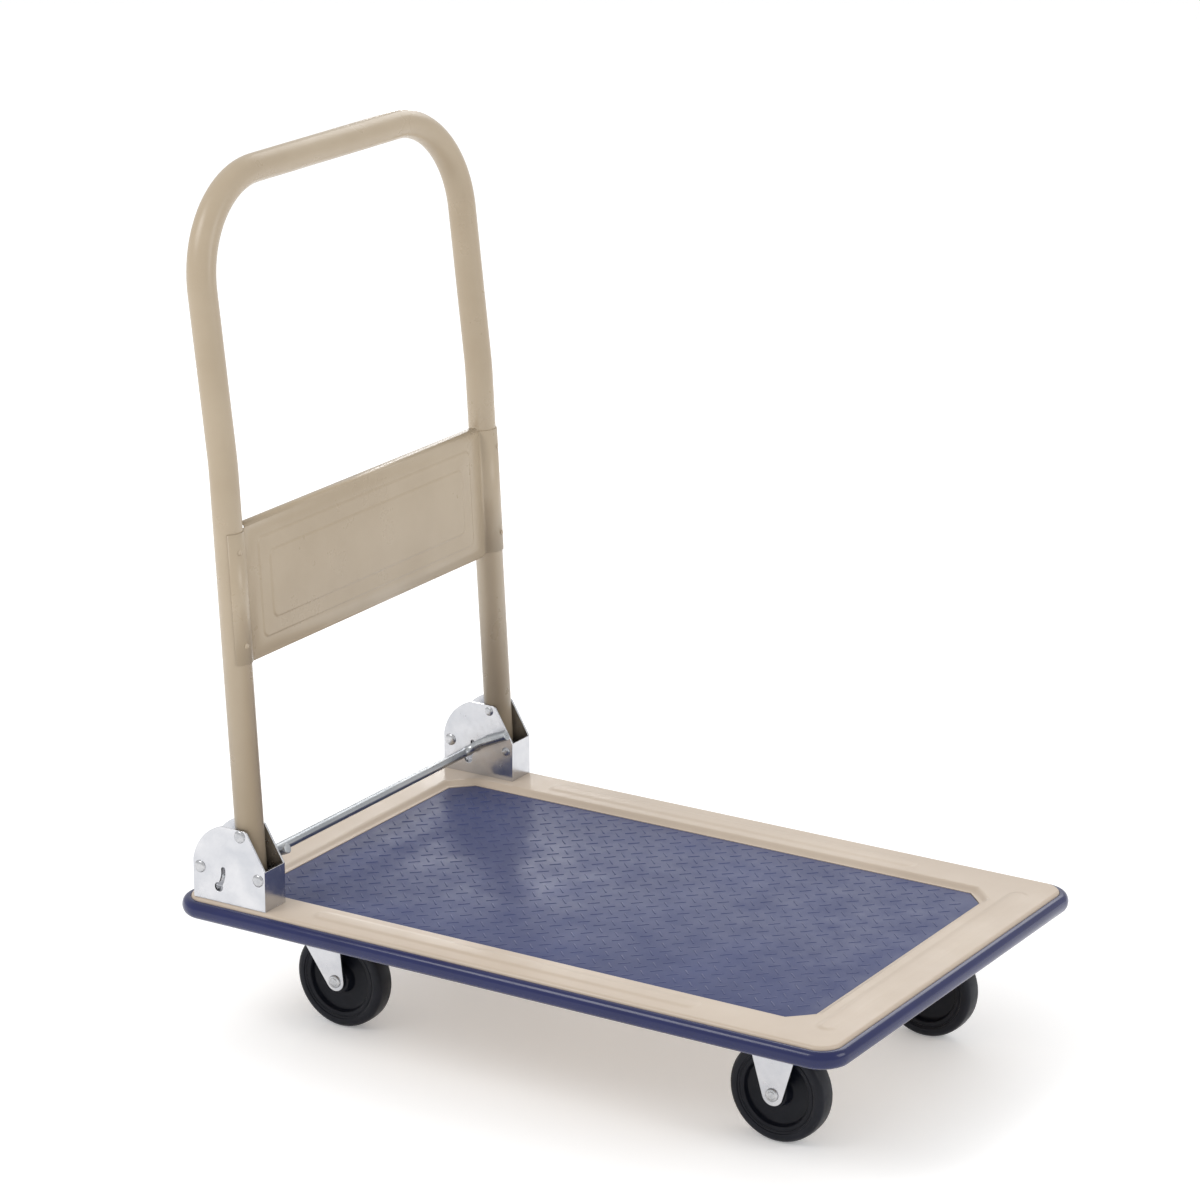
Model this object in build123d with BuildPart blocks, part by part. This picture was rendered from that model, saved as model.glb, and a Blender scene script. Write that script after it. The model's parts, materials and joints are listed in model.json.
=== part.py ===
"""Folding platform cart: a pressed deck on four casters, with a push handle that folds down.

Frame: millimetres, +X from the handle end to the front end, +Y to the left, +Z up.
The origin is on the floor, under the middle of the platform.
"""
from build123d import *
import os
from math import acos, atan2, cos, degrees, hypot, radians, sin

os.makedirs("parts", exist_ok=True)

# ---------------------------------------------------------------- driving dimensions
# deck
deck_length = 718.0        # steel platform, without its bumper
deck_width = 473.0
deck_stack = 19.0          # underside of the channels to the top of the rim
deck_corner = 22.0         # plan radius of the corners
deck_sheet = 1.5
rim_bend = 4.0             # outside radius where the rim turns down
skirt_height = 17.0        # rim top to the skirt's lower edge
recess_drop = 4.7          # rim top to the mat's top
recess_run = 9.0           # width of the sloping wall round the mat
recess_ease = 2.5          # radius where the rim turns into the slope
bead_width = 24.0          # pressed beads on the rim
bead_height = 1.0
bead_inset = 5.0           # bead to the recess's upper edge
side_bead_length = 430.0
end_bead_length = 400.0
# mat
mat_length = 620.0
mat_width = 367.0
mat_thickness = 3.0
mat_corner_cut = 24.0
mat_shift = -6.5           # the mat lies towards the handle
# bumper
bumper_proud = 9.0
bumper_height = 17.0
bumper_drop = 3.0          # rim top to the bumper's top
bumper_round = 7.5
bumper_lip = 5.0           # how far it reaches in under the skirt
bumper_hook = 8.0          # height of the lip behind the skirt
bumper_wall = 2.0
# hinge brackets
leg_centre = 217.0         # handle leg to the middle of the cart
bracket_length = 85.0
bracket_sheet = 2.3
bracket_set_in = 12.5      # deck's rear edge to the bracket
bracket_top = 78.3         # above the rim
bracket_shoulder = 39.0    # height of the rear edge
bracket_crown = (9.8, 61.5)  # middle of the round rear corner, from the rear and above the rim
bracket_flat_start = 34.0  # where the top starts, from the bracket's rear
bracket_flat_end = 63.0    # where the top ends
bracket_front_height = 41.3
bracket_corner = 3.5
web_height = 41.0          # plate that closes the front of the bracket
rivet_radius = 4.0
rivet_head_radius = 6.3
rivet_head_height = 2.4
rivet_tail_radius = 4.9
rivet_tail_height = 1.6
head_round = 0.4           # share of a rivet head's height that is rounded off
stop_height = 31.3         # foot stop above the rim
stop_gap = 0.3             # leg to the foot stop
bracket_bolt_radius = 3.0
bracket_bolt_inset = 13.0
bracket_bolt_head = 4.0
bracket_bolt_flats = 10.0
bracket_bolt_tail = 1.5
bracket_nut_height = 5.0
# handle
tube_radius = 14.0
tube_wall = 1.5
pivot_from_rear = 56.6     # from the bracket's rear, and above the rim
pivot_height = 72.0
foot_length = 42.0         # tube below the pivot
lower_lean = 3.2           # degrees, backwards
upper_lean = 6.5
bend_length = 363.0        # pivot to the bend
handle_height = 625.0      # pivot to the top bar's axis
top_corner_radius = 100.0
bend_radius = 400.0
# handle panel
panel_sheet = 1.2
panel_start = 166.5        # along the leg, from the pivot
panel_height = 136.0
panel_offset = 5.0         # web in front of the legs' axes
panel_root = 0.8           # share of the web's sheet where the flange's skin runs into it
panel_outer_angle = 58.0   # the flange's wrap past the front of the leg
panel_lip = 9.0
panel_relief = 4.0
panel_bend = 3.0
emboss_depth = 1.1
emboss_margin = 17.0
emboss_step = 16.0
emboss_corner = 6.0
emboss_slope = 45.0
panel_rivet_radius = 1.6
panel_rivet_head = 2.6
panel_rivet_head_height = 1.0
panel_rivet_head_taper = 25.0
panel_rivet_tail = 2.2
panel_rivet_reach = 1.2    # how far it reaches into the tube
panel_rivet_angle = 12.0
panel_rivet_inset = 22.0
# lock
lock_from_rear = 8.3       # rear rivet, from the bracket's rear and above the rim
lock_height = 32.5
lock_arm = 27.6            # rear rivet to the lock pin
lock_rest_angle = -11.0    # degrees above the horizontal
lock_travel = 26.0
lock_pin_radius = 2.0
lock_pin_setback = 0.4     # pin's end to the bracket's outer face
slot_width = 4.8
slot_top_angle = 4.0
slot_spare = 1.0           # degrees past the end of the bar's travel
slot_mouth_radius = 4.75
pawl_width = 10.0
pawl_hub_radius = 7.5
pawl_nose_radius = 7.0
bar_radius = 4.9
bar_side_gap = 2.9         # bar's arm to the bracket's cheek
bar_corner_radius = 12.0
bar_elbow_radius = 20.0
elbow_forward, elbow_up = 15.5, 11.0
tip_forward, tip_up = 48.0, 25.5
weld_radius = 5.6
weld_taper = 12.0
weld_gap = 0.75            # weld to the bracket's cheek
spacer_radius = 6.5
spring_wire = 0.7          # radius
spring_bore_gap = 0.4
spring_turns = 4
spring_leg = 17.0
spring_pawl_slope = -49.0  # directions of the spring's two legs, degrees
spring_base_slope = -68.0
# casters
wheel_radius = 50.0
tyre_width = 24.0
tyre_depth = 11.0
tyre_round = 6.0
core_width = 20.0
core_rim = 4.5
core_web = 7.0
hub_radius = 13.0
hub_width = 27.0
bush_radius = 6.0
bush_length = 29.0
axle_radius = 4.0
axle_head_radius = 6.6
axle_head_height = 2.2
fork_sheet = 2.5
fork_gap = 30.0            # between the legs of a fork
fixed_boss = 11.0
swivel_boss = 10.0
caster_headroom = 25.0     # top of the wheels to the underside of the deck's channels
caster_spacing = 529.0     # kingpins to front axles
front_track = 290.0        # between the front wheels' middles
rear_track = 272.0
caster_trail = 32.0
plate_length = 90.0
plate_width = 64.0
plate_bolt_x = 68.0
plate_bolt_y = 51.0
plate_corner = 8.0
caster_bolt_radius = 4.0
caster_bolt_head = 4.3
caster_bolt_flats = 13.0
caster_bolt_tail = 1.0
caster_nut_height = 5.5
fixed_leg_top = 33.0       # half the width of a fixed fork's leg at its plate
crown_radius = 27.0
crown_tail = 8.0           # how far the fork's top reaches past the crown, towards the wheel
race_radius = 20.0
ball_radius = 2.3
ball_count = 16
kingpin_radius = 5.0
kingpin_head_radius = 9.0
kingpin_head_height = 2.6
race_wall = 2.0
# channels and rails under the deck
channel_width = 92.0
channel_sheet = 2.0
rail_width = 34.0
rail_offset = 80.0
# clearances
running = 0.08             # shaft in its bore, radial
snug = 0.05                # pieces pressed or clamped together, radial
hole_clearance = 0.3       # bolts and rivets in sheet
kingpin_clearance = 2.0    # kingpin head in the channel
folded_gap = 0.5           # folded handle above the beads
moving_gap = 0.35          # between neighbours that move
seat = 0.3                 # mat and bumper against the deck

# ---------------------------------------------------------------- worked-out places
caster_height = 2 * wheel_radius + caster_headroom        # floor to the underside of the channels
deck_height = caster_height + deck_stack                  # floor to the top of the rim
mat_top = deck_height - recess_drop
recess_floor = mat_top - mat_thickness
recess_under = recess_floor - deck_sheet
skirt_bottom = deck_height - skirt_height
bracket_rear = -deck_length / 2 + bracket_set_in
bracket_front = bracket_rear + bracket_length
half_channel = tube_radius + moving_gap                   # leg centre to a cheek's inside
half_bracket = half_channel + bracket_sheet
cheek_out = leg_centre + half_bracket                     # outer face of the outer cheek
cheek_in = leg_centre - half_bracket                      # cart side of the inner cheek
pivot = Vector(bracket_rear + pivot_from_rear, 0, deck_height + pivot_height)
leg_up = Vector(-sin(radians(lower_lean)), 0, cos(radians(lower_lean)))
leg_front = Vector(cos(radians(lower_lean)), 0, sin(radians(lower_lean)))
neck_up = Vector(-sin(radians(upper_lean)), 0, cos(radians(upper_lean)))
neck_length = (handle_height - bend_length * leg_up.Z) / neck_up.Z
foot_sweep = hypot(foot_length, tube_radius)              # circle that the foot turns in
lock_axis = Vector(bracket_rear + lock_from_rear, 0, deck_height + lock_height)


def lock_point(angle, reach=lock_arm):
    """Point at an angle and distance from the rear rivet, in the side view."""
    return (lock_axis.X + reach * cos(radians(angle)), lock_axis.Z + reach * sin(radians(angle)))


pin_x, pin_z = lock_point(lock_rest_angle)
slot_bottom_angle = lock_rest_angle - lock_travel - slot_spare
stop_depth = pivot_height - stop_height
stop_reach = tube_radius + stop_gap + rivet_radius             # its middle in front of the leg's axis
stop_x = pivot.X + (stop_depth * sin(radians(lower_lean)) + stop_reach) / cos(radians(lower_lean))
stop_z = pivot.Z - stop_depth
bar_side = cheek_in - bar_side_gap - bar_radius           # middle of the bar's arms
front_axle_x = mat_shift + caster_spacing / 2
kingpin_x = mat_shift - caster_spacing / 2
plate_bottom = caster_height - fork_sheet
crown_top = plate_bottom - 2 * (ball_radius + snug)
fork_out = fork_gap / 2 + fork_sheet
sides = {"left": 1, "right": -1}


def side_view(y, facing=-1):
    """Plane seen from the side: its x is X and its y is Z or -Z; its normal is along Y."""
    return Plane(origin=(0, y, 0), x_dir=(1, 0, 0), z_dir=(0, facing, 0))


def across(x, z, y, facing):
    """Plane on an axis that runs across the cart, looking outwards along facing."""
    return Plane(origin=(x, y, z), x_dir=(1, 0, 0), z_dir=(0, facing, 0))


def save(builder, name):
    builder.part.label = name
    export_step(builder.part, f"parts/{name}.step")


# ---------------------------------------------------------------- deck
def recess_floor_outline(wall):
    """Plan of the recess with its corners cut, grown by a wall."""
    Rectangle(mat_length + 2 * (seat + wall), mat_width + 2 * (seat + wall))


def recess_form(wall):
    """Solid that fills the recess: straight-sided round the mat, then sloping out to the rim."""
    foot_height = mat_top - wall
    brow_grow = 2 * recess_run
    with BuildPart() as form:
        with BuildSketch(Plane((mat_shift, 0, recess_floor - wall))) as pocket:
            recess_floor_outline(wall)
            chamfer(pocket.vertices(), mat_corner_cut)
        extrude(amount=mat_thickness)
        with BuildSketch(Plane((mat_shift, 0, foot_height))) as foot:
            recess_floor_outline(wall)
            chamfer(foot.vertices(), mat_corner_cut)
        with BuildSketch(Plane((mat_shift, 0, deck_height - wall))) as brow:
            recess_floor_outline(wall + recess_run)
            chamfer(brow.vertices(), mat_corner_cut + brow_grow * (1 - cos(radians(45))))
        loft(ruled=True)
    return form.part


def make_deck_plate():
    with BuildPart() as hollow:
        # everything below the sheet: the inside of the skirt, less the tray that hangs into it
        with BuildSketch(Plane.XY.offset(skirt_bottom)):
            RectangleRounded(deck_length - 2 * deck_sheet, deck_width - 2 * deck_sheet,
                             deck_corner - deck_sheet)
        extrude(amount=skirt_height - deck_sheet)
        fillet(hollow.faces().sort_by(Axis.Z)[-1].edges(), rim_bend - deck_sheet)
        add(recess_form(deck_sheet), mode=Mode.SUBTRACT)
    with BuildPart() as deck_plate:
        with BuildSketch(Plane.XY.offset(skirt_bottom)):
            RectangleRounded(deck_length, deck_width, deck_corner)
        extrude(amount=skirt_height)
        add(recess_form(0), mode=Mode.SUBTRACT)
        rim_face = deck_plate.faces().filter_by(Plane.XY).sort_by(Axis.Z)[-1]
        fillet(rim_face.inner_wires()[0].edges(), recess_ease)
        rim_face = deck_plate.faces().filter_by(Plane.XY).sort_by(Axis.Z)[-1]
        fillet(rim_face.outer_wire().edges(), rim_bend)
        add(hollow.part, mode=Mode.SUBTRACT)
        # pressed beads on the rim, domed by a rounded edge
        brow_to_middle = seat + recess_run + bead_inset + bead_width / 2
        side_y = mat_width / 2 + brow_to_middle
        front_x = mat_shift + mat_length / 2 + brow_to_middle
        with BuildPart(mode=Mode.PRIVATE) as beads:
            with BuildSketch(Plane.XY.offset(deck_height - bead_height / 2)):
                with Locations((mat_shift, side_y), (mat_shift, -side_y)):
                    SlotOverall(side_bead_length, bead_width)
                with Locations((front_x, 0)):
                    SlotOverall(end_bead_length, bead_width, rotation=90)
            extrude(amount=bead_height * 1.5)
            fillet(beads.faces().filter_by(Plane.XY).group_by(Axis.Z)[-1].edges(), bead_height * 0.9)
        add(beads.part)
        with BuildSketch(Plane.XY.offset(deck_height - 2 * deck_sheet)):
            with Locations(*bracket_bolt_places()):
                Circle(bracket_bolt_radius + hole_clearance)
        extrude(amount=3 * deck_sheet, mode=Mode.SUBTRACT)
    save(deck_plate, "deck_plate")


def bracket_bolt_places():
    xs = (bracket_rear + bracket_bolt_inset, bracket_front - bracket_bolt_inset)
    return [(x, s * leg_centre) for x in xs for s in sides.values()]


def make_deck_mat():
    with BuildPart() as deck_mat:
        with BuildSketch(Plane((mat_shift, 0, recess_floor))) as outline:
            Rectangle(mat_length, mat_width)
            chamfer(outline.vertices(), mat_corner_cut)
        extrude(amount=mat_thickness)
    save(deck_mat, "deck_mat")


def make_edge_bumper():
    bottom = deck_height - bumper_drop - bumper_height
    outer_length = deck_length + 2 * bumper_proud
    outer_width = deck_width + 2 * bumper_proud

    def ring(size_change, radius_change):
        RectangleRounded(deck_length + size_change, deck_width + size_change,
                         deck_corner + radius_change)

    with BuildPart() as edge_bumper:
        with BuildSketch(Plane.XY.offset(bottom)):
            RectangleRounded(outer_length, outer_width, deck_corner + bumper_proud)
        extrude(amount=bumper_height)
        fillet(edge_bumper.faces().filter_by(Plane.XY).edges(), bumper_round)
        with BuildSketch(Plane.XY.offset(skirt_bottom - seat / 3)):
            ring(2 * snug, snug)
        extrude(amount=skirt_height + bumper_round, mode=Mode.SUBTRACT)
        inside = deck_sheet + bumper_lip
        with BuildSketch(Plane.XY.offset(bottom)):
            ring(-2 * inside, -inside)
        extrude(amount=bumper_height, mode=Mode.SUBTRACT)
        # the hook behind the skirt
        with BuildSketch(Plane.XY.offset(skirt_bottom - seat / 3)):
            ring(-2 * (deck_sheet + seat), -(deck_sheet + seat))
            with BuildSketch(mode=Mode.PRIVATE) as hole:
                ring(-2 * (deck_sheet + seat + bumper_wall), -(deck_sheet + seat + bumper_wall))
            add(hole.sketch, mode=Mode.SUBTRACT)
        extrude(amount=bumper_hook)
    save(edge_bumper, "edge_bumper")


def make_caster_channel(name, x, head_clear):
    """U-channel, open upwards, welded under the recess; the casters bolt to its web."""
    with BuildPart() as channel:
        with BuildSketch(Plane((x, 0, caster_height))):
            Rectangle(channel_width, mat_width)
        extrude(amount=recess_under - caster_height)
        with BuildSketch(Plane((x, 0, caster_height + channel_sheet))):
            Rectangle(channel_width - 2 * channel_sheet, mat_width)
        extrude(amount=recess_under - caster_height, mode=Mode.SUBTRACT)
        track = front_track if head_clear == 0 else rear_track
        with BuildSketch(Plane((x, 0, caster_height))):
            with Locations((0, track / 2), (0, -track / 2)):
                with GridLocations(plate_bolt_x, plate_bolt_y, 2, 2):
                    Circle(caster_bolt_radius + hole_clearance)
                if head_clear:
                    Circle(head_clear)
        extrude(amount=channel_sheet, mode=Mode.SUBTRACT)
    save(channel, name)


def make_deck_rails():
    start = kingpin_x + channel_width / 2 + seat
    end = front_axle_x - channel_width / 2 - seat
    depth = recess_under - caster_height
    for side, s in sides.items():
        with BuildPart() as rail:
            with BuildSketch(Plane(((start + end) / 2, s * rail_offset, caster_height))):
                Rectangle(end - start, rail_width)
            extrude(amount=depth)
            with BuildSketch(Plane(((start + end) / 2, s * rail_offset,
                                    caster_height + channel_sheet))):
                Rectangle(end - start, rail_width - 2 * channel_sheet)
            extrude(amount=depth, mode=Mode.SUBTRACT)
        save(rail, f"{side}_deck_rail")


# ---------------------------------------------------------------- hinge brackets
def cheek_face(y):
    """Side view of a bracket's cheek, as a sketch at one distance from the middle of the cart."""
    rear, base = bracket_rear, deck_height
    shoulder = (rear, base + bracket_shoulder)
    crown = (rear + bracket_crown[0], base + bracket_crown[1])
    flat_start = (rear + bracket_flat_start, base + bracket_top)
    with BuildSketch(side_view(y)) as cheek:
        with BuildLine():
            Line((rear, base), shoulder)
            ThreePointArc(shoulder, crown, flat_start)
            Polyline(flat_start, (rear + bracket_flat_end, base + bracket_top),
                     (bracket_front, base + bracket_front_height),
                     (bracket_front, base), (rear, base))
        make_face()
    return cheek.sketch


def make_bracket(side, s):
    rivet_hole = rivet_radius + snug
    slot_path = CenterArc((lock_axis.X, lock_axis.Z), lock_arm, slot_top_angle,
                          slot_bottom_angle - slot_top_angle)
    with BuildPart() as bracket:
        for y in (cheek_out, cheek_in + bracket_sheet):
            extrude(cheek_face(s * y), amount=s * bracket_sheet)
        corner_edges = bracket.edges().filter_by(Axis.Y).filter_by_position(
            Axis.Z, deck_height + bracket_front_height - 1, deck_height + bracket_top + 1)
        fillet(corner_edges, bracket_corner)
        with BuildSketch(Plane((0, s * leg_centre, deck_height))):
            with Locations(((bracket_rear + bracket_front) / 2, 0)):
                Rectangle(bracket_length, 2 * half_channel)
        extrude(amount=bracket_sheet)
        with BuildSketch(Plane((0, s * leg_centre, deck_height))):
            with Locations((bracket_front - bracket_sheet / 2, 0)):
                Rectangle(bracket_sheet, 2 * half_channel)
        extrude(amount=web_height)
        with BuildSketch(side_view(s * leg_centre)):
            with Locations((lock_axis.X, lock_axis.Z), (stop_x, stop_z), (pivot.X, pivot.Z)):
                Circle(rivet_hole)
            SlotArc(slot_path, slot_width)
            with Locations(lock_point(slot_bottom_angle)):
                Circle(slot_mouth_radius)
        extrude(amount=half_bracket + 1, both=True, mode=Mode.SUBTRACT)
        with BuildSketch(Plane.XY.offset(deck_height)):
            with Locations(*[p for p in bracket_bolt_places() if p[1] * s > 0]):
                Circle(bracket_bolt_radius + hole_clearance)
        extrude(amount=bracket_sheet, mode=Mode.SUBTRACT)
    save(bracket, f"{side}_hinge_bracket")


def make_bracket_rivets():
    """Rivets across each bracket: lock rivet, foot stop and handle pivot."""
    spots = {
        "rear_rivets": (lock_axis.X, lock_axis.Z, rivet_head_radius, rivet_head_height),
        "stop_rivets": (stop_x, stop_z, rivet_tail_radius, rivet_tail_height),
        "handle_pivot_rivets": (pivot.X, pivot.Z, rivet_tail_radius, rivet_tail_height),
    }
    for name, (x, z, inner_radius, inner_height) in spots.items():
        with BuildPart() as rivets:
            for s in sides.values():
                with BuildSketch(across(x, z, s * cheek_in, s)):
                    Circle(rivet_radius)
                extrude(amount=2 * half_bracket)
                with BuildSketch(across(x, z, s * cheek_out, s)):
                    Circle(rivet_head_radius)
                extrude(amount=rivet_head_height)
                with BuildSketch(across(x, z, s * cheek_in, -s)):
                    Circle(inner_radius)
                extrude(amount=inner_height)
            rims = rivets.edges().filter_by(GeomType.CIRCLE).group_by(Axis.Y)
            fillet(list(rims[0]) + list(rims[-1]), rivet_head_height * head_round)
        save(rivets, name)


def hexagon(across_flats):
    RegularPolygon(across_flats / 2, 6, major_radius=False)


def make_bracket_fasteners():
    base_top = deck_height + bracket_sheet
    nut_top = deck_height - deck_sheet
    tail = bracket_nut_height + bracket_bolt_tail
    with BuildPart() as bolts:
        with BuildSketch(Plane.XY.offset(base_top)):
            with Locations(*bracket_bolt_places()):
                hexagon(bracket_bolt_flats)
        extrude(amount=bracket_bolt_head)
        with BuildSketch(Plane.XY.offset(nut_top - tail)):
            with Locations(*bracket_bolt_places()):
                Circle(bracket_bolt_radius)
        extrude(amount=base_top - nut_top + tail)
    save(bolts, "bracket_bolts")
    with BuildPart() as nuts:
        with BuildSketch(Plane.XY.offset(nut_top - bracket_nut_height)):
            with Locations(*bracket_bolt_places()):
                hexagon(bracket_bolt_flats)
                Circle(bracket_bolt_radius + snug, mode=Mode.SUBTRACT)
        extrude(amount=bracket_nut_height)
    save(nuts, "bracket_nuts")


# ---------------------------------------------------------------- handle
def leg_plane(s, distance):
    """Plane square to a leg, at a distance above the pivot: x is forwards, y is +Y."""
    spot = pivot + leg_up * distance + Vector(0, s * leg_centre, 0)
    return Plane(origin=spot, x_dir=leg_front, z_dir=leg_up)


def rivet_plane(s, distance):
    """Plane on a leg's skin where a panel rivet goes in, looking outwards."""
    turn = radians(panel_rivet_angle)
    out = leg_front * cos(turn) + Vector(0, s * sin(turn), 0)
    spot = pivot + leg_up * distance + Vector(0, s * leg_centre, 0)
    return Plane(origin=spot, x_dir=leg_up, z_dir=out)


panel_rivet_rows = (panel_start + panel_rivet_inset, panel_start + panel_height - panel_rivet_inset)


def make_handle_tube():
    foot = pivot - leg_up * foot_length
    knee = pivot + leg_up * bend_length
    top = knee + neck_up * neck_length
    route = [Vector(p.X, s * leg_centre, p.Z) for s, p in
             ((-1, foot), (-1, knee), (-1, top), (1, top), (1, knee), (1, foot))]
    radii = [bend_radius, top_corner_radius, top_corner_radius, bend_radius]
    with BuildPart() as handle_tube:
        with BuildLine() as path:
            FilletPolyline(*route, radius=radii)
        with BuildSketch(Plane(origin=route[0], x_dir=leg_front, z_dir=leg_up)):
            Circle(tube_radius)
            Circle(tube_radius - tube_wall, mode=Mode.SUBTRACT)
        sweep(path=path.wires()[0])
        with BuildSketch(side_view(0)):
            with Locations((pivot.X, pivot.Z)):
                Circle(rivet_radius + running)
        extrude(amount=cheek_out, both=True, mode=Mode.SUBTRACT)
        for s in sides.values():
            for row in panel_rivet_rows:
                with BuildSketch(rivet_plane(s, row)):
                    Circle(panel_rivet_radius + snug)
                extrude(amount=tube_radius + 1, mode=Mode.SUBTRACT)
    save(handle_tube, "handle_tube")


def make_handle_panel():
    inner = tube_radius + snug
    outer = inner + panel_sheet
    inner_angle = degrees(acos((panel_offset + panel_root * panel_sheet) / outer))
    web_half = leg_centre - (inner + outer) / 2 * sin(radians(inner_angle))
    lip_half = web_half - panel_relief
    middle = pivot + leg_up * (panel_start + panel_height / 2)
    web_face = Plane(origin=middle + leg_front * (panel_offset + panel_sheet),
                     x_dir=(0, 1, 0), z_dir=leg_front)
    web_back = Plane(origin=middle + leg_front * panel_offset, x_dir=(0, 1, 0), z_dir=leg_front)
    with BuildPart() as handle_panel:
        with BuildSketch(web_back):
            Rectangle(2 * web_half, panel_height - 2 * panel_relief)
            Rectangle(2 * lip_half, panel_height)
        extrude(amount=panel_sheet)
        # lips along the top and bottom edges, turned backwards
        for end in (1, -1):
            with BuildSketch(web_face):
                with Locations((0, end * (panel_height - panel_sheet) / 2)):
                    Rectangle(2 * lip_half, panel_sheet)
            extrude(amount=-panel_lip)
        long_edges = handle_panel.edges().filter_by(Axis.Y).filter_by(
            lambda e: abs(e.length - 2 * lip_half) < 1)
        front_edges = [e for e in long_edges
                       if abs((e.center() - middle).dot(leg_front) - panel_offset - panel_sheet) < 0.01]
        fillet(front_edges, panel_bend)
        # flanges that wrap the legs
        for s in sides.values():
            start = -s * inner_angle
            sweep_angle = s * (inner_angle + panel_outer_angle)
            with BuildSketch(leg_plane(s, panel_start + panel_relief)):
                with BuildLine():
                    skin = CenterArc((0, 0), outer, start, sweep_angle)
                    bore = CenterArc((0, 0), inner, start, sweep_angle)
                    Line(skin @ 0, bore @ 0)
                    Line(skin @ 1, bore @ 1)
                make_face()
            extrude(amount=panel_height - 2 * panel_relief)
            for row in panel_rivet_rows:
                with BuildSketch(rivet_plane(s, row)):
                    Circle(panel_rivet_radius + snug)
                extrude(amount=outer + 1, mode=Mode.SUBTRACT)
        # two nested raised fields, hollow behind
        for step in (1, 2):
            margin = emboss_margin + (step - 1) * emboss_step
            width, height = 2 * (lip_half - margin), panel_height - 2 * margin
            lift = (step - 1) * emboss_depth
            with BuildSketch(web_face.offset(lift)):
                RectangleRounded(width, height, emboss_corner)
            extrude(amount=emboss_depth, taper=emboss_slope)
            with BuildSketch(web_back.offset(lift)):
                RectangleRounded(width - panel_sheet, height - panel_sheet, emboss_corner)
            extrude(amount=emboss_depth, taper=emboss_slope, mode=Mode.SUBTRACT)
    save(handle_panel, "handle_panel")


def make_panel_rivets():
    skin = tube_radius + snug + panel_sheet
    bore = tube_radius - tube_wall
    with BuildPart() as panel_rivets:
        for s in sides.values():
            for row in panel_rivet_rows:
                spot = rivet_plane(s, row)
                with BuildSketch(spot.offset(skin)):
                    Circle(panel_rivet_head)
                extrude(amount=panel_rivet_head_height, taper=panel_rivet_head_taper)
                with BuildSketch(spot.offset(bore - panel_rivet_reach)):
                    Circle(panel_rivet_radius)
                extrude(amount=skin - bore + panel_rivet_reach)
                with BuildSketch(spot.offset(bore - panel_rivet_reach)):
                    Circle(panel_rivet_tail)
                extrude(amount=panel_rivet_head_height)
    save(panel_rivets, "panel_rivets")


# ---------------------------------------------------------------- lock
def make_lock_bar():
    route = []
    for s in (-1, 1):
        arm = [Vector(pin_x + tip_forward, s * bar_side, pin_z + tip_up),
               Vector(pin_x + elbow_forward, s * bar_side, pin_z + elbow_up),
               Vector(pin_x, s * bar_side, pin_z)]
        route += arm if s < 0 else arm[::-1]
    first = (route[1] - route[0]).normalized()
    radii = [bar_elbow_radius, bar_corner_radius, bar_corner_radius, bar_elbow_radius]
    pin_end = cheek_out - lock_pin_setback
    with BuildPart() as lock_bar:
        with BuildLine() as path:
            FilletPolyline(*route, radius=radii)
        with BuildSketch(Plane(origin=route[0], z_dir=first)):
            Circle(bar_radius)
        sweep(path=path.wires()[0])
        for s in sides.values():
            # the lock pin, and the weld that holds it to the bar's bend
            with BuildSketch(across(pin_x, pin_z, s * (bar_side - bar_corner_radius), s)):
                Circle(lock_pin_radius)
            extrude(amount=pin_end - bar_side + bar_corner_radius)
            with BuildSketch(across(pin_x, pin_z, s * (bar_side - bar_radius), s)):
                Circle(weld_radius)
            extrude(amount=2 * bar_radius + bar_side_gap - weld_gap, taper=weld_taper)
    save(lock_bar, "lock_bar")


def make_pawls():
    """Plates on the rear rivets, in the brackets, that carry the lock pins."""
    for side, s in sides.items():
        with BuildPart() as pawl:
            with BuildSketch(side_view(s * leg_centre)):
                with BuildSketch(mode=Mode.PRIVATE) as ends:
                    with Locations((lock_axis.X, lock_axis.Z)):
                        Circle(pawl_hub_radius)
                    with Locations((pin_x, pin_z)):
                        Circle(pawl_nose_radius)
                add(make_hull(ends.edges(), mode=Mode.PRIVATE))
                with Locations((lock_axis.X, lock_axis.Z)):
                    Circle(rivet_radius + running, mode=Mode.SUBTRACT)
                with Locations((pin_x, pin_z)):
                    Circle(lock_pin_radius + snug, mode=Mode.SUBTRACT)
                # nose hollowed to the circle that the handle's foot turns in
                with Locations((pivot.X, pivot.Z)):
                    Circle(foot_sweep + 2 * moving_gap, mode=Mode.SUBTRACT)
            extrude(amount=pawl_width / 2, both=True)
        save(pawl, f"{side}_lock_pawl")


def make_pawl_spacers():
    with BuildPart() as pawl_spacers:
        for s in sides.values():
            start = leg_centre - half_channel
            length = half_channel - pawl_width / 2 - moving_gap
            with BuildSketch(across(lock_axis.X, lock_axis.Z, s * start, s)):
                Circle(spacer_radius)
                Circle(rivet_radius + snug, mode=Mode.SUBTRACT)
            extrude(amount=length)
    save(pawl_spacers, "pawl_spacers")


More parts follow.
